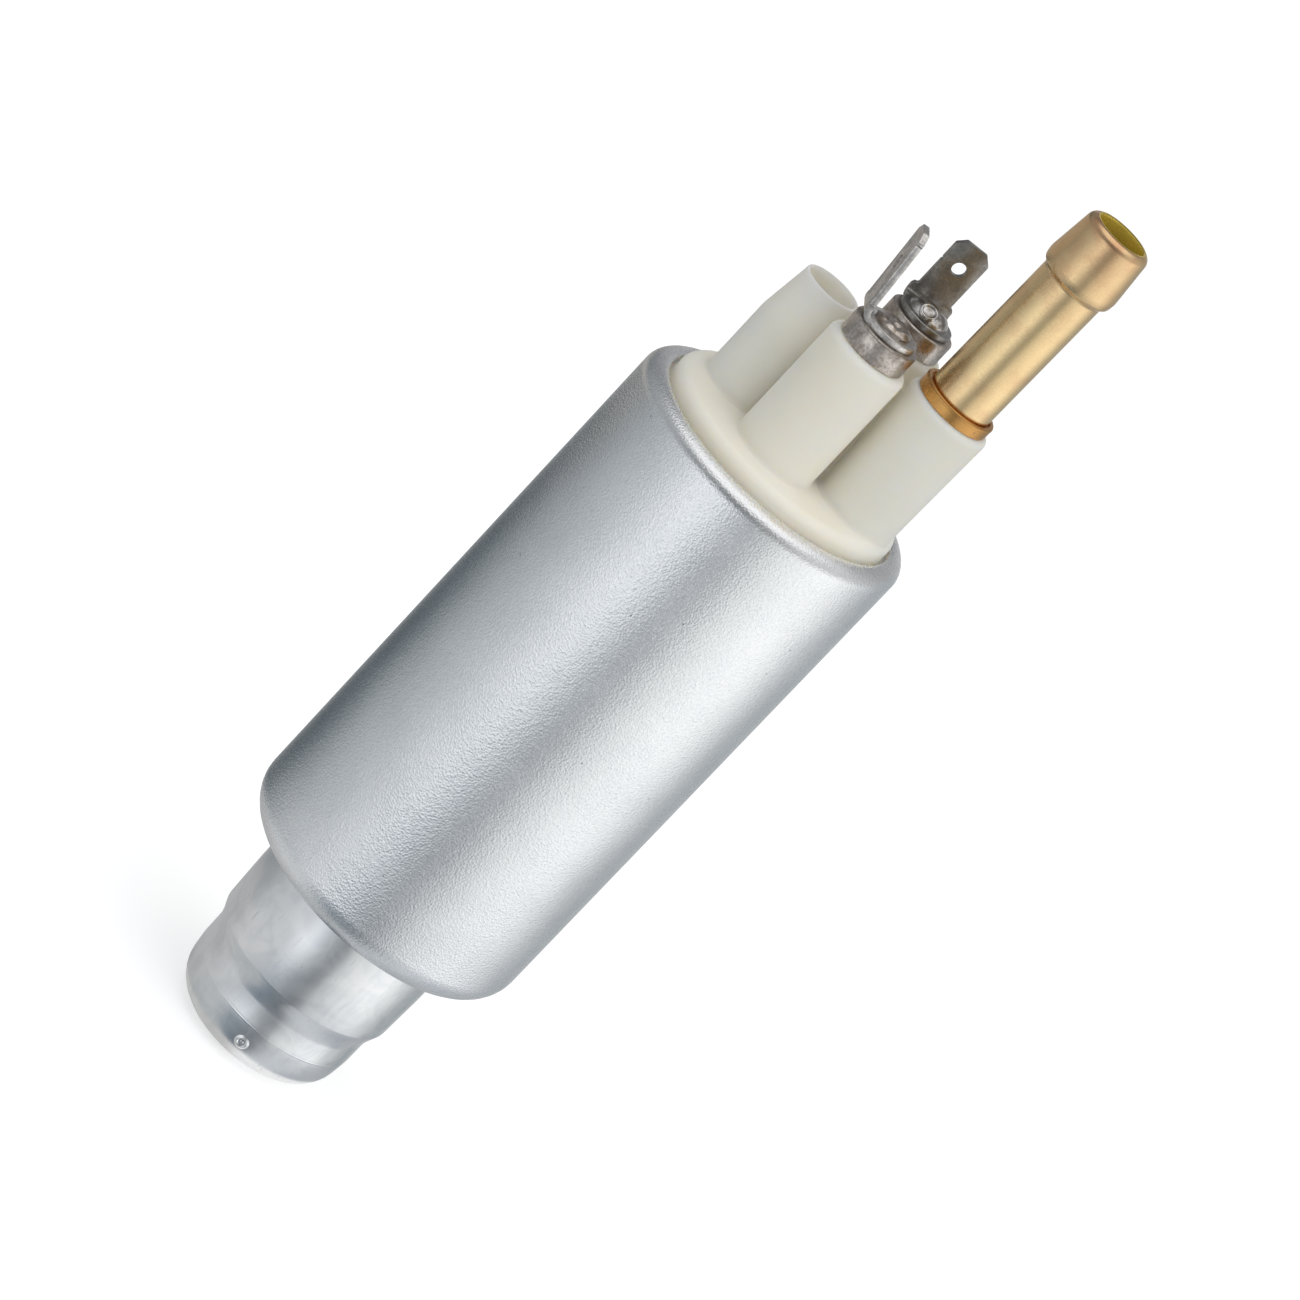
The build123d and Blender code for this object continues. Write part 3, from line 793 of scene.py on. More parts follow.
@dataclass(frozen=True)
class TinnedSteel(Finish):
    """Dull tinned steel with brown-grey tarnish."""

    clean: Colour = (0.69, 0.63, 0.58)
    tarnish: Colour = (0.26, 0.218, 0.185)
    grade: str = "finish"
    patch_scale: float = 0.5
    grain_scale: float = 3.0
    grain_depth: float = 0.02

    def draw(self, graph: Graph) -> None:
        """Draw the terminals' material.

        Args:
            graph: The material's empty graph.
        """
        patches = graph.noise(self.patch_scale, 4, roughness=0.6)
        grain = graph.noise(self.grain_scale, 3, roughness=0.7)
        worn = (patches * 0.55 + grain * 0.45).between(0.3, 0.7)
        graph.surface(
            Base_Color=graph.mix(worn, self.clean, self.tarnish),
            Metallic=0.97,
            Roughness=0.24 + worn * 0.18,
            Normal=graph.bump(patches * 0.3 + grain * 0.7, self.grain_depth, 1.0),
        )


@dataclass(frozen=True)
class Solder(Finish):
    """Bright lumpy solder, greyer in its hollows."""

    bright: Colour = (0.74, 0.71, 0.69)
    grey: Colour = (0.25, 0.22, 0.19)
    lump_scale: float = 0.8
    lump_depth: float = 0.05

    def draw(self, graph: Graph) -> None:
        """Draw the solder's material.

        Args:
            graph: The material's empty graph.
        """
        lumps = graph.noise(self.lump_scale, 3, roughness=0.5)
        graph.surface(
            Base_Color=graph.mix(lumps.between(0.32, 0.62), self.grey, self.bright),
            Metallic=0.95,
            Roughness=0.14 + lumps * 0.2,
            Normal=graph.bump(lumps, self.lump_depth, 1.0),
        )


@dataclass(frozen=True)
class InnerFinish(Finish):
    """Finish of a piece inside the can: colour, sheen, grain and, if laminated, layers."""

    colour: Colour
    metallic: float
    roughness: float
    grain: float = 1.5
    depth: float = 0.02
    layers: float = 0.0
    darkening: float = 0.72
    gap: Colour = (0.05, 0.05, 0.055)

    def draw(self, graph: Graph) -> None:
        """Draw an inner piece's material.

        Args:
            graph: The material's empty graph.
        """
        grain = graph.noise(self.grain, 3, roughness=0.6)
        clouds = graph.noise(0.2, 2)
        dark = tuple(self.darkening * value for value in self.colour)
        colour = graph.mix((grain * 0.5 + clouds * 0.5).between(0.3, 0.7), dark, self.colour)
        height = grain
        if self.layers:
            inputs = {0: graph.axis("Z"), 1: self.layers / 2}
            sheet = graph.add("ShaderNodeMath", {"operation": "PINGPONG"}, inputs)
            edge = sheet.between(0, self.layers / 5)
            colour = graph.mix(edge, self.gap, colour)
            height = edge * 0.8 + grain * 0.2
        graph.surface(
            Base_Color=colour,
            Metallic=self.metallic,
            Roughness=self.roughness + (grain - 0.5) * 0.2,
            Normal=graph.bump(height, self.depth, 0.6),
        )


CAN_STEEL = CanSteel("can_steel")
CUP_STEEL = CupSteel("cup_steel")
IVORY = IvoryPlastic("ivory_plastic")
BRASS = TurnedBrass("nozzle_brass")
TINNED = TinnedSteel("tinned_steel")
# Lit and shaded copies of one tinned steel: the front tab's copy is painted lighter and the rear
# tab's copy is painted darker, as painted light and shade.
LIT_TINNED = TinnedSteel("tinned_steel", (0.82, 0.79, 0.76), (0.38, 0.36, 0.34), "pale")
SHADED_TINNED = TinnedSteel("tinned_steel", (0.42, 0.405, 0.385), (0.215, 0.205, 0.19), "dull")
SOLDER = Solder("solder")

INNER_FINISHES = {
    finish.name: finish
    for finish in (
        InnerFinish("sintered_steel", (0.30, 0.30, 0.31), 0.9, 0.55, 2.5, 0.04),
        InnerFinish("spring_steel", (0.55, 0.55, 0.56), 1.0, 0.3),
        InnerFinish("shaft_steel", (0.70, 0.70, 0.71), 1.0, 0.2, 0.8, 0.005),
        InnerFinish("lamination_steel", (0.36, 0.37, 0.39), 0.9, 0.45, 2.0, 0.05, 0.5),
        InnerFinish("copper", (0.80, 0.40, 0.22), 1.0, 0.32, 2.0, 0.06, 0.6),
        InnerFinish("dark_moulding", (0.05, 0.05, 0.055), 0.0, 0.5),
        InnerFinish("carbon", (0.045, 0.045, 0.05), 0.2, 0.5, 3.0, 0.03),
        InnerFinish("bronze", (0.62, 0.42, 0.24), 0.95, 0.5, 3.0, 0.03),
        InnerFinish("ferrite", (0.07, 0.07, 0.075), 0.1, 0.7, 1.8, 0.04),
        InnerFinish("seal_rubber", (0.02, 0.02, 0.02), 0.0, 0.6, 1.2, 0.01),
        InnerFinish("acetal", (0.80, 0.79, 0.74), 0.0, 0.35, 0.8, 0.01),
    )
}


def finished(piece: bpy.types.Object, node: str, finish: Finish) -> None:
    """Dress a piece, let it stand for a CAD node and ride on that node's body.

    Args:
        piece: The finished mesh.
        node: The CAD node that it replaces.
        finish: Its finish, named as the record's slot.
    """
    finish.on(piece)
    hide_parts(node)
    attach(piece, "housing")
    LOG.info("%s: %d faces", piece.name, len(piece.data.polygons))


# Casing


@dataclass
class Casing:
    """The drawn can with its rolled lip, and the stepped inlet cup below it."""

    can_r: float = 19.0
    wall: float = 1.0
    floor_z: float = 24.2
    top_z: float = 97.5
    floor_round: float = 4.1
    lip_round: float = 1.9
    lip_shoulder_z: float = 96.95
    lip_r: float = 16.45
    lip_under_z: float = 96.5
    neck_z: float = 18.5
    neck_top_r: float = 12.5
    cup_wall: float = 0.8
    tip_r: float = 11.36
    tip_low_r: float = 10.71
    tip_round: float = 4.6
    draw_z: float = 6.2
    step_r: float = 12.27
    step_z: float = 9.85
    step_top_z: float = 12.1
    inlet_r: float = 5.5
    flange_r: float = 14.8
    punch_azimuth: float = -77.1
    punch_z: float = 3.75
    punch_reach: float = 11.06
    punch_tilt: float = 100.0
    gap: float = 0.03
    steps: int = 128

    def can(self) -> bpy.types.Object:
        """Model the can: one closed wall from the floor's hole to the rolled lip.

        Returns:
            The can.
        """
        hole_r = self.neck_top_r + self.gap
        inside_z = self.floor_z + self.wall
        piece = Workbench.turned(
            "can_drawn",
            [
                Corner(hole_r, self.floor_z, 0.3),
                Corner(self.can_r, self.floor_z, self.floor_round),
                Corner(self.can_r, self.lip_shoulder_z, self.lip_round),
                Corner(self.lip_r + 0.6, self.top_z + 0.15, 1.2),
                Corner(self.lip_r, self.top_z, 0.12),
                Corner(self.lip_r, self.lip_under_z, 0.04),
                Corner(self.can_r - self.wall, self.lip_under_z),
                Corner(self.can_r - self.wall, inside_z, self.floor_round - self.wall),
                Corner(hole_r, inside_z),
            ],
            self.steps,
        )
        return Workbench.smooth(piece)

    def cup(self) -> bpy.types.Object:
        """Model the cup: tip with a rounded end, flared step, neck and hidden flange.

        Returns:
            The cup with its punch mark.
        """
        inside_tip = self.tip_low_r - self.cup_wall
        inside_neck = self.step_r - self.cup_wall
        top_z = self.floor_z + self.wall + self.cup_wall
        piece = Workbench.turned(
            "inlet_cup_drawn",
            [
                Corner(self.inlet_r, 0, 0.15),
                Corner(self.tip_low_r, 0, self.tip_round),
                Corner(self.tip_r, self.draw_z, 10.0),
                Corner(self.tip_r + 0.02, self.step_z, 4.5),
                Corner(self.step_r, self.step_top_z, 0.9),
                Corner(self.neck_top_r, self.neck_z, 60.0),
                Corner(self.neck_top_r, top_z - self.cup_wall, 0.2),
                Corner(self.flange_r, top_z - self.cup_wall),
                Corner(self.flange_r, top_z),
                Corner(inside_neck, top_z, 0.4),
                Corner(inside_neck, self.step_top_z, 1.0),
                Corner(inside_tip, self.step_z, 1.0),
                Corner(inside_tip, self.cup_wall, self.tip_round - self.cup_wall),
                Corner(self.inlet_r, self.cup_wall, 0.15),
            ],
            self.steps,
        )
        Workbench.merge_in(piece, self.punch_mark())
        return Workbench.smooth(piece, 40)

    def punch_mark(self) -> bpy.types.Object:
        """Model the small punch mark near the tip's end: a low ring round a pit.

        Returns:
            The mark, in its place on the tip.
        """
        piece = Workbench.turned("punch_mark", PUNCH_MARK, 32)
        azimuth = radians(self.punch_azimuth)
        at = (self.punch_reach * cos(azimuth), self.punch_reach * sin(azimuth), self.punch_z)
        return Workbench.place(piece, at, self.punch_azimuth, self.punch_tilt)

    def build(self) -> None:
        """Model and dress both pieces."""
        finished(self.can(), "can", CAN_STEEL)
        finished(self.cup(), "inlet_cup", CUP_STEEL)


PUNCH_MARK = (
    Corner(0, -0.5),
    Corner(0.95, -0.5),
    Corner(0.95, -0.02),
    Corner(0.62, 0.17, 0.14),
    Corner(0.36, -0.08, 0.08),
    Corner(0.17, 0.09, 0.1),
    Corner(0.0, 0.1),
)


# Outlet head


class Side(Enum):
    """The two terminal towers, by the sign of their place along Y."""

    FRONT = -1
    REAR = 1

    @property
    def prefix(self) -> str:
        """Start of the names of the pieces on this tower."""
        return self.name.lower()


@dataclass
class OutletHead:
    """The ivory moulding: flange, two terminal towers, outlet tower and relief stub."""

    plug_r: float = 17.95
    plug_z: float = 85.5
    room_r: float = 12.4
    room_top_z: float = 88.6
    bearing_r: float = 3.3
    bearing_top_z: float = 94.2
    shoulder_z: float = 96.5
    flange_r: float = 15.95
    flange_z: float = 99.55
    flange_round: float = 1.3
    tower_root_z: float = 97.0
    tower_top_z: float = 116.05
    terminal_y: float = 6.5
    terminal_r: float = 5.3
    brush_guide: Triple = (5.12, 4.52, 24.9)
    brush_guide_z: float = 100.95
    rivet_hole_r: float = 1.21
    rivet_hole_z: float = 112.0
    outlet_x: float = 10.2
    outlet_r: float = 5.22
    outlet_top_r: float = 5.52
    outlet_foot_share: float = 0.14
    valve_hole_r: float = 2.2
    valve_bore_r: float = 3.71
    valve_seat_z: float = 96.0
    bore_low_z: float = 85.0
    stub_x: float = -9.0
    stub_r: float = 4.61
    stub_top_r: float = 3.72
    stub_taper_z: float = 109.2
    stub_hole_r: float = 1.5
    stub_seat_z: float = 99.0
    stub_bore_r: float = 3.25
    stub_mouth: float = 0.16
    foot_round: float = 0.6
    overlap: float = 0.04

    def foundation(self) -> bpy.types.Object:
        """Model the plug and flange, with the commutator's room and the bearing's seat.

        Returns:
            The solid of turning.
        """
        return Workbench.turned(
            "head_moulding",
            [
                Corner(0, self.bearing_top_z),
                Corner(self.bearing_r, self.bearing_top_z),
                Corner(self.bearing_r, self.room_top_z),
                Corner(self.room_r, self.room_top_z),
                Corner(self.room_r, self.plug_z),
                Corner(self.plug_r, self.plug_z),
                Corner(self.plug_r, self.shoulder_z),
                Corner(self.flange_r, self.shoulder_z),
                Corner(self.flange_r, self.flange_z, self.flange_round),
                Corner(0, self.flange_z),
            ],
            128,
        )

    def tower(self, name: str, radius: float, upper: Sequence[Corner]) -> bpy.types.Object:
        """Model a tower whose foot flares into the flange.

        Args:
            name: The piece's name.
            radius: The tower's radius above its foot.
            upper: The outline's corners from the wall's top to the axis.

        Returns:
            The solid tower, on the pump's axis.
        """
        flare = self.foot_round
        foot_z = self.flange_z - self.overlap
        centre = Vector((radius + flare, foot_z + flare))
        foot = arc(centre, centre + Vector((0, -flare)), centre + Vector((-flare, 0)))
        outline = [Corner(0, self.tower_root_z), Corner(radius + flare, self.tower_root_z)]
        outline += [Corner(point.x, point.y) for point in foot]
        return Workbench.turned(name, [*outline, *upper], 96)

    def on_terminals(self, piece: bpy.types.Object) -> list[bpy.types.Object]:
        """Copy a piece and carry the two to the terminal towers' axes.

        Args:
            piece: The piece, on the pump's axis.

        Returns:
            The front one and the rear one.
        """
        pair = (piece, Workbench.twin(piece, piece.name))
        return [
            Workbench.place(each, (0, side.value * self.terminal_y, 0))
            for each, side in zip(pair, Side)
        ]

    def terminal_towers(self) -> list[bpy.types.Object]:
        """Model a terminal tower and its copy, in their places."""
        upper = [Corner(self.terminal_r, self.tower_top_z, 0.9), Corner(0, self.tower_top_z)]
        return self.on_terminals(self.tower("terminal_tower", self.terminal_r, upper))

    def outlet_tower(self) -> bpy.types.Object:
        """Model the outlet tower, wider at its top, its foot drawn in near the flange's edge.

        Returns:
            The tower, in its place.
        """
        upper = [Corner(self.outlet_top_r, self.tower_top_z, 0.8), Corner(0, self.tower_top_z)]
        piece = self.tower("outlet_tower", self.outlet_r, upper)
        foot_top_z = self.flange_z + 1
        near = 0.01
        rings = sorted({
            round(hypot(v.co.x, v.co.y) / MM, 3)
            for v in piece.data.vertices
            if hypot(v.co.x, v.co.y) / MM > self.outlet_r + near and v.co.z / MM < foot_top_z
        })

        def on_outer_half(point: Vector, ring: float) -> bool:
            """Whether a point of the foot is on a ring, on the side of the flange's edge."""
            on_ring = abs(hypot(point.x, point.y) - ring) < near
            return on_ring and point.x > near and point.z < foot_top_z

        with Workbench.editing(piece):
            for ring in rings:
                wanted = self.outlet_r + self.outlet_foot_share * (ring - self.outlet_r)
                Workbench.pick(piece, lambda point, r=ring: on_outer_half(point, r))
                bpy.ops.transform.resize(value=(wanted / ring, 1, 1), center_override=(0, 0, 0))
        return Workbench.place(piece, (self.outlet_x, 0, 0))

    def stub(self) -> bpy.types.Object:
        """Model the relief stub, drawn in towards its thin open end.

        Returns:
            The stub, still solid, in its place.
        """
        upper = [
            Corner(self.stub_r, self.stub_taper_z, 9),
            Corner(self.stub_top_r, self.tower_top_z, 0.2),
            Corner(0, self.tower_top_z),
        ]
        piece = self.tower("relief_stub", self.stub_r, upper)
        return Workbench.place(piece, (self.stub_x, 0, 0))

    def bores(self) -> list[bpy.types.Object]:
        """Model the shapes that are cut out: brush guides, rivet holes and valve bores.

        Returns:
            The cutters, in their places.
        """
        over = self.tower_top_z + 1
        guide = Workbench.block("brush_guide", self.brush_guide, (0, 0, self.brush_guide_z))
        hole = Workbench.rod("rivet_hole", self.rivet_hole_r, self.rivet_hole_z, over, 32)
        outlet = [
            Corner(0, self.bore_low_z),
            Corner(self.valve_hole_r, self.bore_low_z),
            Corner(self.valve_hole_r, self.valve_seat_z),
            Corner(self.valve_bore_r, self.valve_seat_z),
            Corner(self.valve_bore_r, over),
            Corner(0, over),
        ]
        mouth_r = self.stub_bore_r + self.stub_mouth
        relief = [
            Corner(0, self.bore_low_z),
            Corner(self.stub_hole_r, self.bore_low_z),
            Corner(self.stub_hole_r, self.stub_seat_z),
            Corner(self.stub_bore_r, self.stub_seat_z),
            Corner(self.stub_bore_r, self.tower_top_z - 0.5, 1.5),
            Corner(mouth_r, self.tower_top_z + 0.1),
            Corner(mouth_r, over),
            Corner(0, over),
        ]
        outlet_bore = Workbench.turned("outlet_bore", outlet, 64)
        relief_bore = Workbench.turned("relief_bore", relief, 96)
        return [
            *self.on_terminals(guide),
            *self.on_terminals(hole),
            Workbench.place(outlet_bore, (self.outlet_x, 0, 0)),
            Workbench.place(relief_bore, (self.stub_x, 0, 0)),
        ]

    def build(self) -> None:
        """Model and dress the head."""
        head = self.foundation()
        for tower in [*self.terminal_towers(), self.outlet_tower(), self.stub()]:
            Workbench.combine(head, tower, Join.ADD)
        for cutter in self.bores():
            Workbench.combine(head, cutter, Join.CUT)
        Workbench.smooth(head, 30)
        finished(head, "head", IVORY)


# Nozzle


@dataclass
class Nozzle:
    """The turned brass nozzle: spigot, collar, tube and bulged end."""

    axis_x: float = 10.17
    foot_z: float = 108.2
    seat_z: float = 116.05
    top_z: float = 144.05
    bore_r: float = 3.2
    spigot_r: float = 3.66
    collar_r: float = 4.88
    collar_h: float = 1.6
    tube_r: float = 4.1
    bulge_r: float = 4.83
    bulge_z: float = 136.1
    nose_r: float = 4.22
    groove: float = 0.16
    groove_depth: float = 0.35
    lean: float = 0.7

    def build(self) -> None:
        """Model and dress the nozzle, pressed in a little out of true."""
        foot_z = self.foot_z - self.seat_z
        collar_z = self.collar_h
        groove_z = collar_z - self.groove_depth
        top_z = self.top_z - self.seat_z
        bulge_z = self.bulge_z - self.seat_z
        piece = Workbench.turned(
            "outlet_barb_turned",
            [
                Corner(self.bore_r, foot_z, 0.1),
                Corner(self.spigot_r, foot_z, 0.15),
                Corner(self.spigot_r, 0),
                Corner(self.collar_r, 0, 0.15),
                Corner(self.collar_r, collar_z - 0.5, 0.2),
                Corner(self.collar_r + 0.07, collar_z, 0.24),
                Corner(self.tube_r + self.groove + 0.1, collar_z, 0.12),
                Corner(self.tube_r + self.groove, groove_z, 0.1),
                Corner(self.tube_r, groove_z, 0.05),
                Corner(self.tube_r, bulge_z, 0.5),
                Corner(self.bulge_r - 0.16, bulge_z + 0.55, 0.55),
                Corner(self.bulge_r, bulge_z + 1.55, 2.2),
                Corner(self.nose_r, top_z, 1.05),
                Corner(self.bore_r + 0.05, top_z, 0.3),
                Corner(self.bore_r, top_z - 1.2, 0.5),
            ],
            96,
        )
        Workbench.smooth(piece)
        Workbench.place(piece, (self.axis_x, 0, self.seat_z), 0, self.lean)
        finished(piece, "outlet_barb", BRASS)


# Terminals


@dataclass
class BushRings:
    """The two metal rings under the tabs, alike, each pressed onto its tower."""

    tower_y: float = 6.5
    seat_z: float = 116.05
    bush_r: float = 4.35
    bush_z: float = 118.9
    hole_r: float = 1.2

    def build(self) -> None:
        """Model the ring once, copy it and dress both."""
        ring = Workbench.turned(
            f"{Side.FRONT.prefix}_bush_ring",
            [
                Corner(self.hole_r, self.seat_z),
                Corner(self.bush_r, self.seat_z, 0.12),
                Corner(self.bush_r, self.bush_z, 0.28),
                Corner(self.hole_r, self.bush_z),
            ],
            72,
        )
        Workbench.smooth(ring)
        other = Workbench.twin(ring, f"{Side.REAR.prefix}_bush_ring")
        for side, piece in ((Side.FRONT, ring), (Side.REAR, other)):
            Workbench.place(piece, (0, side.value * self.tower_y, 0))
            finished(piece, f"{side.prefix}_terminal_bush", TINNED)


@dataclass
class TerminalPost:
    """What stands on a terminal's bush: the bent tab and the rivet that holds it."""

    side: Side
    turn: float
    lean: float
    tab_h: float
    tab_offset: float
    bend_r: float
    shoulder_width: float
    tab_hole_drop: float
    nick_drop: float
    lump_size: float
    lump_height: float
    head_profile: Sequence[Corner]
    tab_finish: Finish
    rivet_finish: Finish
    nick_y: float = 2.4
    nick_size: Triple = (2, 0.24, 0.24)
    tower_y: float = 6.5
    bush_z: float = 118.9
    hole_r: float = 1.2
    thickness: float = 0.8
    foot_r: float = 3.6
    shoulder_h: float = 1.8
    tab_width: float = 4.8
    corner: float = 1.0
    tab_edge: float = 0.09
    tab_hole_r: float = 0.88
    roof_z: float = 113.4
    tail_r: float = 2.1
    tail_h: float = 0.8

    def on_tower(
        self, piece: bpy.types.Object, z: float = 0.0, turn: float = 0.0
    ) -> bpy.types.Object:
        """Carry a piece to the tower's axis."""
        return Workbench.place(piece, (0, self.side.value * self.tower_y, z), turn)

    def blade_x(self, z: float) -> float:
        """How far out the leaning blade's middle stands at a height."""
        return self.tab_offset + tan(radians(self.lean)) * max(0.0, z - self.shoulder_h)

    def stations(self) -> list[Triple]:
        """The blade's middle line and width: (reach, height, width) from foot to tip.

        Returns:
            The stations in order.
        """
        mid = self.thickness / 2
        centre = Vector((self.tab_offset - self.bend_r, mid + self.bend_r))
        bend = arc(centre, centre + Vector((0, -self.bend_r)), centre + Vector((self.bend_r, 0)))
        line = [(0.0, mid, 4.2), (1.6, mid, 5.2)]
        line += [(point.x, point.y, self.shoulder_width) for point in bend]
        steps = [
            (self.shoulder_h - 0.25, self.shoulder_width),
            (self.shoulder_h + 0.1, self.shoulder_width - 0.35),
            (self.shoulder_h + 0.22, self.tab_width + 0.12),
            (self.shoulder_h + 0.42, self.tab_width),
            (self.tab_h - self.corner, self.tab_width),
            (self.tab_h, self.tab_width - 2 * self.corner),
        ]
        return line + [(self.blade_x(z), z, width) for z, width in steps]

    def strip(self) -> bpy.types.Object:
        """Model the blade's bent middle sheet by drawing an edge along its stations.

        Returns:
            The sheet, without thickness.
        """
        line = self.stations()
        reach, z, width = line[0]
        piece = Workbench.seed(f"{self.side.prefix}_tab", (reach, -width / 2, z))
        bpy.ops.mesh.extrude_vertices_move(TRANSFORM_OT_translate={"value": (0, width * MM, 0)})
        bpy.ops.mesh.select_all(action="SELECT")
        for (x0, z0, w0), (x1, z1, w1) in zip(line, line[1:]):
            move = ((x1 - x0) * MM, 0, (z1 - z0) * MM)
            bpy.ops.mesh.extrude_edges_move(TRANSFORM_OT_translate={"value": move})
            bpy.ops.transform.resize(value=(1, w1 / w0, 1), center_override=(0, 0, 0))
        Workbench.close_edit()
        return piece

    def blade(self) -> bpy.types.Object:
        """Model the bent blade with its hole and the nick in its edge.

        Returns:
            The blade.
        """
        piece = self.strip()
        wall = self.thickness * MM
        Workbench.modify(piece, "SOLIDIFY", thickness=wall, offset=0.0, use_even_offset=True)
        edge = {"width": self.tab_edge * MM, "segments": 2}
        Workbench.modify(piece, "BEVEL", limit_method="ANGLE", angle_limit=radians(40), **edge)
        hole = Workbench.rod("tab_hole", self.tab_hole_r, -3, 3, 40)
        hole_z = self.tab_h - self.tab_hole_drop
        Workbench.place(hole, (self.blade_x(hole_z), 0, hole_z), 0, 90 + self.lean)
        Workbench.combine(piece, hole, Join.CUT)
        nick = Workbench.block("edge_nick", self.nick_size, (0, 0, 0))
        nick.rotation_euler = (radians(45), 0, 0)
        Workbench.settle(nick)
        nick_z = self.tab_h - self.nick_drop
        Workbench.place(nick, (self.blade_x(nick_z), self.nick_y, nick_z))
        return Workbench.combine(piece, nick, Join.CUT)

    def terminal(self) -> bpy.types.Object:
        """Model the whole terminal: blade and round foot.

        Returns:
            The terminal, in its place.
        """
        foot = Workbench.turned(
            "tab_foot",
            [
                Corner(self.hole_r, 0),
                Corner(self.foot_r, 0, 0.12),
                Corner(self.foot_r, self.thickness, 0.2),
                Corner(self.hole_r, self.thickness),
            ],
            64,
        )
        bore = Workbench.rod("foot_bore", self.hole_r, -1, 2, 64)
        piece = Workbench.combine(self.blade(), bore, Join.CUT)
        Workbench.combine(piece, foot, Join.ADD)
        Workbench.smooth(piece)
        return self.on_tower(piece, self.bush_z, self.turn)

    def rivet(self) -> bpy.types.Object:
        """Model the rivet, its staked or soldered head uneven as the real one is.

        Returns:
            The rivet, in its place.
        """
        top_z = self.bush_z + self.thickness
        tail_z = self.roof_z - self.tail_h
        piece = Workbench.turned(
            f"{self.side.prefix}_rivet_staked",
            [
                Corner(0, tail_z),
                Corner(self.tail_r, tail_z),
                Corner(self.tail_r, self.roof_z),
                Corner(self.hole_r, self.roof_z),
                Corner(self.hole_r, top_z),
                *(Corner(c.r, c.z + top_z, c.rounding) for c in self.head_profile),
            ],
            64,
        )
        group = piece.vertex_groups.new(name="head")
        high = [v.index for v in piece.data.vertices if v.co.z / MM > top_z + 0.12]
        group.add(high, 1.0, "REPLACE")
        lumps = bpy.data.textures.new(f"{self.side.prefix}_lumps", "CLOUDS")
        lumps.noise_scale = self.lump_size * MM
        Workbench.modify(
            piece,
            "DISPLACE",
            texture=lumps,
            texture_coords="LOCAL",
            vertex_group="head",
            mid_level=0.55,
            strength=self.lump_height * MM,
        )
        if self.side is Side.REAR:
            Workbench.combine(piece, self.crater(top_z), Join.ADD)
        Workbench.smooth(piece, 60)
        return self.on_tower(piece)

    @staticmethod
    def crater(top_z: float) -> bpy.types.Object:
        """Model the solder's crater: a low ring on the slope that faces the camera.

        Args:
            top_z: Height of the terminal's foot, on which the solder lies.

        Returns:
            The ring, about the rivet's axis.
        """
        piece = Workbench.turned("solder_crater", SOLDER_CRATER, 48)
        azimuth = radians(CRATER_AZIMUTH)
        at = (CRATER_REACH * cos(azimuth), CRATER_REACH * sin(azimuth), top_z + CRATER_RISE)
        return Workbench.place(piece, at, CRATER_AZIMUTH, CRATER_TILT)

    def build(self) -> None:
        """Model and dress the tab and the rivet."""
        finished(self.terminal(), f"{self.side.prefix}_terminal", self.tab_finish)
        finished(self.rivet(), f"{self.side.prefix}_rivet", self.rivet_finish)


CRATER_AZIMUTH = -87.0
CRATER_REACH = 1.9
CRATER_RISE = 0.86
CRATER_TILT = 28.0
SOLDER_CRATER = (
    Corner(0, -0.8),
    Corner(1.05, -0.8),
    Corner(1.2, 0.0, 0.15),
    Corner(1.0, 0.36, 0.14),
    Corner(0.76, 0.08, 0.12),
    Corner(0.3, -0.12, 0.1),
    Corner(0, 0.0),
)
STAKED_HEAD = (
    Corner(2.4, 0.0),
    Corner(2.5, 0.35, 0.15),
    Corner(1.9, 0.75, 0.4),
    Corner(1.0, 0.7, 0.3),
    Corner(0.5, 0.95, 0.2),
    Corner(0.0, 0.9),
)
SOLDER_HEAD = (
    Corner(2.75, 0.0),
    Corner(2.72, 0.3, 0.15),
    Corner(2.2, 0.8, 0.4),
    Corner(1.5, 1.1, 0.5),
    Corner(0.0, 1.35),
)
FRONT_POST = TerminalPost(
    Side.FRONT,
    turn=203.0,
    lean=4.5,
    tab_h=11.95,
    tab_offset=3.95,
    bend_r=1.1,
    shoulder_width=5.0,
    tab_hole_drop=4.8,
    nick_drop=1.4,
    lump_size=1.25,
    lump_height=0.55,
    head_profile=STAKED_HEAD,
    # The front tab wears the copy painted lighter: painted light.
    tab_finish=LIT_TINNED,
    rivet_finish=TINNED,
)
REAR_POST = TerminalPost(
    Side.REAR,
    turn=115.8,
    lean=0.0,
    tab_h=9.5,
    tab_offset=3.8,
    bend_r=0.8,
    shoulder_width=6.0,
    tab_hole_drop=3.3,
    nick_drop=3.5,
    lump_size=0.8,
    lump_height=0.16,
    head_profile=SOLDER_HEAD,
    # The rear tab wears the copy painted darker: painted shade.
    tab_finish=SHADED_TINNED,
    rivet_finish=SOLDER,
)


# Pieces inside the can


@dataclass
class InnerWorks:
    """The pieces whose solids stay; each gets the finish of its record slot."""

    replaced: Sequence[str]

    def build(self) -> None:
        """Dress every CAD node that no piece of the scene stands for."""
        for subpart in frame["record"]["subparts"]:
            node = subpart["node"]
            if node in self.replaced:
                continue
            INNER_FINISHES[subpart["material_slot"]].on(frame["nodes"][node])
            LOG.info("%s: dressed in %s", node, subpart["material_slot"])


# Studio


@dataclass(frozen=True)
class Lamp:
    """A soft square lamp that looks at the pump and that metal doesn't mirror.

    Its azimuth is in degrees to the camera's right and its elevation in degrees above the
    floor, both seen from the pump. Its edge is in metres.
    """

    name: str
    azimuth: float
    elevation: float
    edge: float
    watts: float


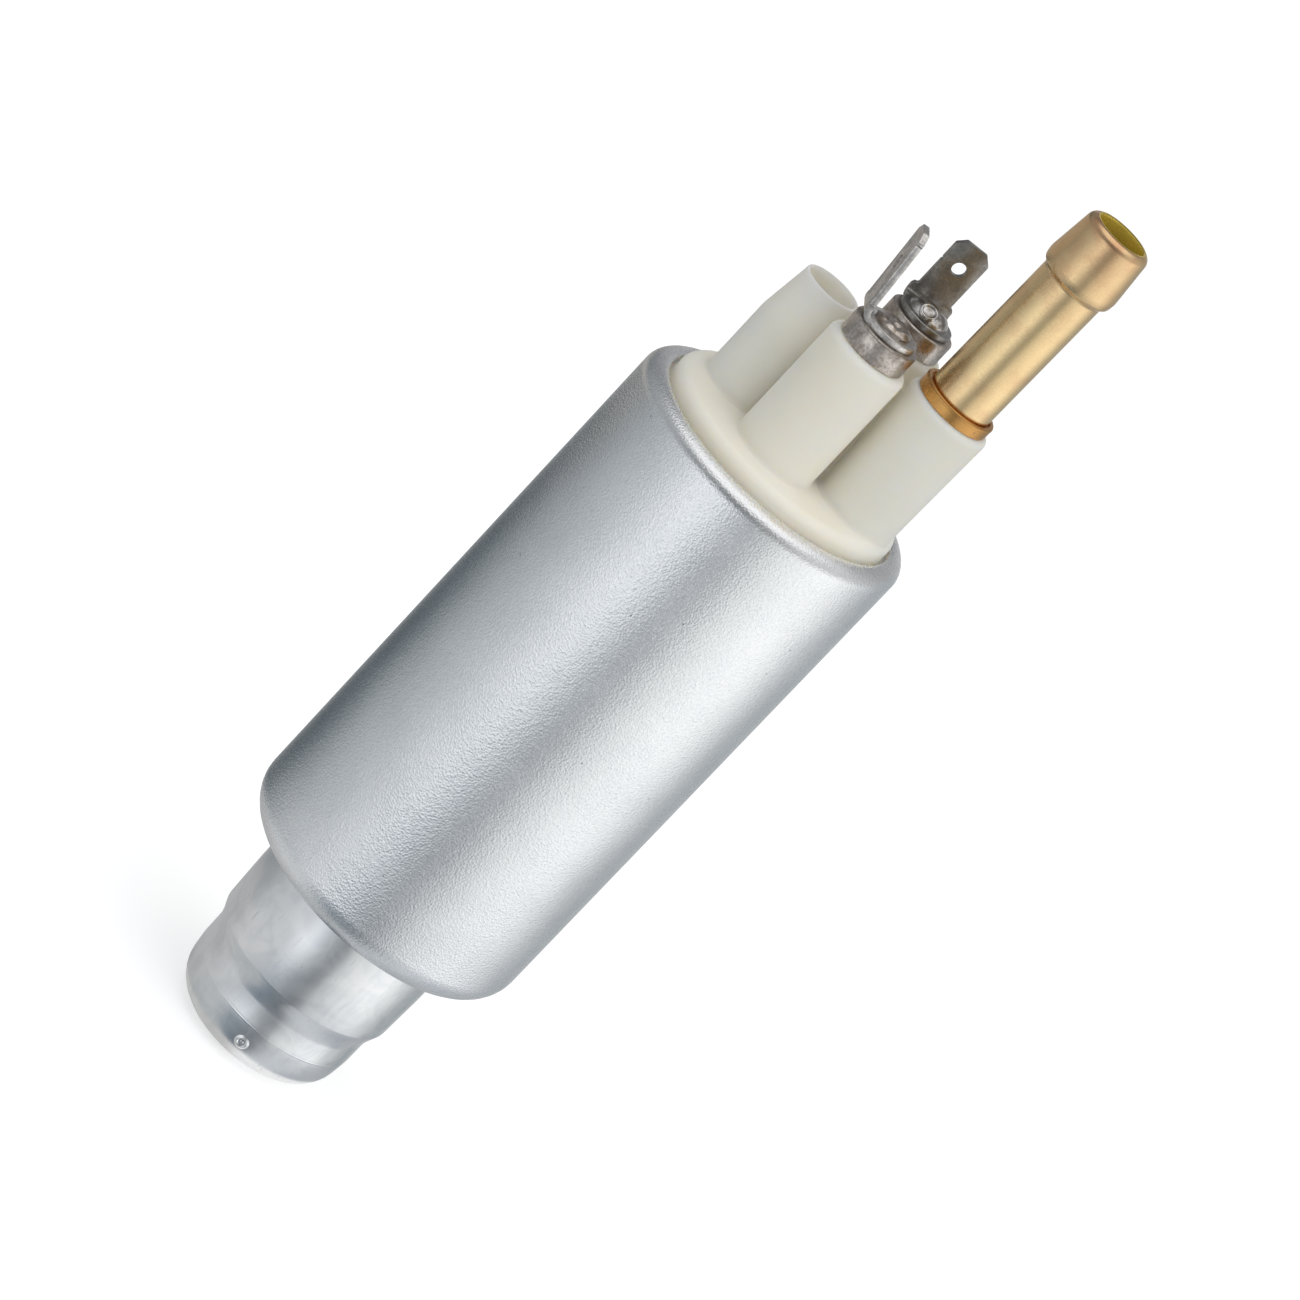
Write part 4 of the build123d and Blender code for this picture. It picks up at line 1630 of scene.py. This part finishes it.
@dataclass
class Studio:
    """Camera at the photograph's angle, pale floor, soft lamps and their surroundings."""

    azimuth: float = 8.3
    elevation: float = 20.5
    focal_px: float = 6100.0
    photo_px: float = 1300.0
    sensor: float = 36.0
    target: Triple = (0.0, 0.0, 61.5)
    distance: float = 700.7
    shift_right: float = -4.055
    shift_up: float = -7.93
    axis_tilt: float = 43.42
    lamp_distance: float = 900.0
    floor_size: float = 12.0
    floor_colour: Colour = (0.8, 0.8, 0.8)
    floor_glow: float = 0.5
    near_sheet: tuple[Colour, Colour] = ((0.64, 0.65, 0.66), (0.48, 0.485, 0.49))
    far_sheet: Colour = (0.42, 0.40, 0.38)
    rim_levels: tuple[Colour, Colour] = ((0.58, 0.575, 0.57), (0.94, 0.94, 0.94))
    ceiling: Colour = (1.05, 1.055, 1.06)

    @staticmethod
    def way(azimuth: float, elevation: float) -> Vector:
        """Direction from the pump towards an azimuth and an elevation, in degrees."""
        a, e = radians(azimuth), radians(elevation)
        return Vector((sin(a) * cos(e), -cos(a) * cos(e), sin(e)))

    def camera(self) -> None:
        """Place the camera, rolled so that the pump leans as in the photograph."""
        right = Vector((cos(radians(self.azimuth)), sin(radians(self.azimuth)), 0))
        back = self.way(self.azimuth, self.elevation)
        up = back.cross(right)
        place = Vector(self.target) + back * self.distance
        place -= right * self.shift_right + up * self.shift_up
        roll = radians(self.axis_tilt)
        rolled_right = right * cos(roll) + up * sin(roll)
        rolled_up = up * cos(roll) - right * sin(roll)
        stance = Matrix((rolled_right, rolled_up, back)).transposed().to_4x4()
        bpy.ops.object.camera_add()
        eye = bpy.context.active_object
        eye.name = "photo_camera"
        eye.matrix_world = Matrix.Translation(place * MM) @ stance
        eye.data.sensor_width = self.sensor
        eye.data.lens = self.sensor * self.focal_px / self.photo_px
        eye.data.clip_start = 0.01
        eye.data.clip_end = 50
        bpy.context.scene.camera = eye

    def floor(self) -> None:
        """Lay the pale floor; it keeps the shadow and shows near white to the camera."""
        bpy.ops.object.select_all(action="DESELECT")
        bpy.ops.mesh.primitive_plane_add(size=self.floor_size, location=(0, 0, 0))
        plane = bpy.context.active_object
        plane.name = "studio_floor"
        paint = bpy.data.materials.new("studio_floor")
        paint.use_nodes = True
        graph = Graph(paint.node_tree)
        card = graph.add("ShaderNodeBsdfDiffuse", inputs={"Color": (*self.floor_colour, 1)})
        both = graph.add(
            "ShaderNodeAddShader", inputs={0: card, 1: graph.light((1, 1, 1), self.floor_glow)}
        )
        seen = graph.add("ShaderNodeLightPath", output="Is Camera Ray")
        mirrored = graph.add("ShaderNodeLightPath", output="Is Glossy Ray")
        plain = graph.blend(seen, card, both)
        shader = graph.blend(mirrored, plain, self.mirrored_sheets(graph))
        graph.add("ShaderNodeOutputMaterial", inputs={"Surface": shader})
        plane.data.materials.append(paint)

    def mirrored_sheets(self, graph: Graph) -> Signal:
        """Lay the sheets of paper that only the pump's metal mirrors.

        Args:
            graph: The floor's graph.

        Returns:
            The shader: clear, with a sheet near on the left, one far behind on the left and
            one under the inlet.
        """
        across, depth = graph.axis("X"), graph.axis("Y")
        reach = (across * across + depth * depth) ** 0.5
        near_left = (1 - reach.between(35, 75)) * (1 - across.between(-17, -9))
        far_back = reach.between(312, 335) * depth.between(0, 90) * (1 - across.between(-90, 0))
        under = 1 - reach.between(10.8, 11.9)
        near = graph.light(graph.mix(depth.between(-22, -2), *self.near_sheet))
        rim = graph.light(graph.mix(across.between(0.5, 4.0), *self.rim_levels))
        shader = graph.blend(near_left, graph.add("ShaderNodeBsdfTransparent"), near)
        shader = graph.blend(far_back, shader, graph.light(self.far_sheet))
        return graph.blend(under, shader, rim)

    def hang(self, lamp: Lamp) -> None:
        """Hang a lamp at its place, looking at the pump.

        Args:
            lamp: The lamp to hang.
        """
        way = self.way(self.azimuth + lamp.azimuth, lamp.elevation)
        place = way * self.lamp_distance + Vector(self.target)
        bpy.ops.object.light_add(type="AREA", location=place * MM)
        light = bpy.context.active_object
        light.name = lamp.name
        light.rotation_euler = way.to_track_quat("Z", "Y").to_euler()
        light.data.size = lamp.edge
        light.data.energy = lamp.watts
        light.visible_glossy = False

    def surroundings(self) -> None:
        """White to the camera; to metal, white cards with the darker gaps between them."""
        world = bpy.data.worlds.new("studio")
        bpy.context.scene.world = world
        world.use_nodes = True
        graph = Graph(world.node_tree)
        direction = graph.add("ShaderNodeTexCoord", output="Generated")
        turn = {"Vector": direction, "Rotation": (0, 0, radians(90 - self.azimuth))}
        turned = graph.add("ShaderNodeMapping", {"vector_type": "POINT"}, turn)
        x, y, height = [
            graph.add("ShaderNodeSeparateXYZ", inputs={0: turned}, output=axis) for axis in "XYZ"
        ]
        around = graph.add("ShaderNodeMath", {"operation": "ARCTAN2"}, {0: y, 1: x})
        cards, ground, upper = [
            graph.add(
                "ShaderNodeValToRGB",
                {"stops": [(0.5 + angle / 360, colour) for angle, colour in band]},
                {0: around / (2 * pi) + 0.5},
            )
            for band in (CARD_BAND, GROUND_BAND, UPPER_BAND)
        ]
        cards = graph.mix(1 - height.between(-0.55, -0.46), cards, ground)
        cards = graph.mix(height.between(0.02, 0.3), cards, upper)
        cards = graph.mix(height.between(0.68, 0.92), cards, self.ceiling)
        seen = graph.add("ShaderNodeLightPath", output="Is Camera Ray")
        through = graph.add("ShaderNodeLightPath", output="Is Transmission Ray")
        level = graph.mix(seen + through, cards, (1.0, 1.0, 1.0))
        sky = graph.add("ShaderNodeBackground", inputs={"Color": level, "Strength": 1.0})
        graph.add("ShaderNodeOutputWorld", inputs={"Surface": sky})

    def build(self) -> None:
        """Set up everything round the pump."""
        self.camera()
        self.floor()
        for lamp in LAMPS:
            self.hang(lamp)
        self.surroundings()
        bpy.context.scene.view_settings.view_transform = "Standard"


LAMPS = (
    Lamp("key_lamp", 48, 42, 0.9, 1.85),
    Lamp("fill_lamp", -42, 50, 0.9, 1.1),
    Lamp("front_lamp", 24, 24, 0.7, 0.2),
)

# The surroundings in rings of (degrees to the camera's right, level), seen from the pump:
# the cards at the pump's height, the ground below them and the wall above them.
CARD_BAND = (
    (-180.0, (0.75, 0.76, 0.77)),
    (-170.0, (0.60, 0.61, 0.62)),
    (-160.0, (0.20, 0.21, 0.22)),
    (-150.0, (0.08, 0.10, 0.11)),
    (-128.0, (0.10, 0.125, 0.145)),
    (-106.0, (0.26, 0.285, 0.30)),
    (-89.0, (0.37, 0.40, 0.415)),
    (-74.0, (0.445, 0.47, 0.49)),
    (-60.0, (0.50, 0.53, 0.555)),
    (-47.0, (0.64, 0.67, 0.70)),
    (-35.0, (0.83, 0.855, 0.88)),
    (-23.0, (1.00, 1.03, 1.06)),
    (-14.0, (1.12, 1.15, 1.18)),
    (-6.0, (0.86, 0.90, 0.94)),
    (0.0, (0.66, 0.69, 0.72)),
    (8.0, (0.45, 0.475, 0.50)),
    (16.0, (0.31, 0.33, 0.35)),
    (24.0, (0.36, 0.38, 0.39)),
    (33.0, (0.73, 0.745, 0.75)),
    (47.0, (0.91, 0.92, 0.92)),
    (60.0, (1.00, 1.01, 1.005)),
    (74.0, (1.12, 1.13, 1.14)),
    (92.0, (1.14, 1.15, 1.15)),
    (106.0, (0.86, 0.87, 0.875)),
    (128.0, (0.44, 0.46, 0.475)),
    (152.0, (0.36, 0.40, 0.415)),
    (165.0, (0.55, 0.56, 0.57)),
    (180.0, (0.75, 0.76, 0.77)),
)
GROUND_BAND = (
    (-180.0, (0.45, 0.46, 0.46)),
    (-128.0, (0.45, 0.46, 0.46)),
    (-89.0, (0.49, 0.51, 0.52)),
    (-55.0, (0.52, 0.545, 0.55)),
    (-41.0, (0.49, 0.51, 0.53)),
    (-30.0, (0.31, 0.35, 0.38)),
    (-18.0, (0.22, 0.26, 0.30)),
    (0.0, (0.18, 0.205, 0.23)),
    (16.0, (0.185, 0.205, 0.225)),
    (26.0, (0.26, 0.275, 0.285)),
    (35.0, (0.47, 0.49, 0.51)),
    (47.0, (0.56, 0.59, 0.61)),
    (66.0, (0.62, 0.65, 0.68)),
    (89.0, (0.60, 0.63, 0.655)),
    (110.0, (0.46, 0.49, 0.53)),
    (180.0, (0.45, 0.46, 0.46)),
)
UPPER_BAND = (
    (-180.0, (0.30, 0.30, 0.31)),
    (-150.0, (0.20, 0.21, 0.22)),
    (-110.0, (0.36, 0.37, 0.38)),
    (-60.0, (0.36, 0.37, 0.38)),
    (-38.0, (0.28, 0.29, 0.30)),
    (0.0, (0.17, 0.175, 0.18)),
    (38.0, (0.34, 0.345, 0.35)),
    (60.0, (0.62, 0.62, 0.62)),
    (100.0, (0.64, 0.64, 0.64)),
    (150.0, (0.36, 0.36, 0.36)),
    (180.0, (0.30, 0.30, 0.31)),
)


def main() -> None:
    """Build the studio and every sub-assembly in order."""
    logging.basicConfig(level=logging.INFO, format="%(message)s")
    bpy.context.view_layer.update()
    Studio().build()
    Casing().build()
    OutletHead().build()
    Nozzle().build()
    BushRings().build()
    FRONT_POST.build()
    REAR_POST.build()
    on_towers = ("terminal_bush", "terminal", "rivet")
    replaced = ["can", "inlet_cup", "head", "outlet_barb"]
    replaced += [f"{side.prefix}_{part}" for side in Side for part in on_towers]
    InnerWorks(replaced).build()


if __name__ == "__main__":
    main()
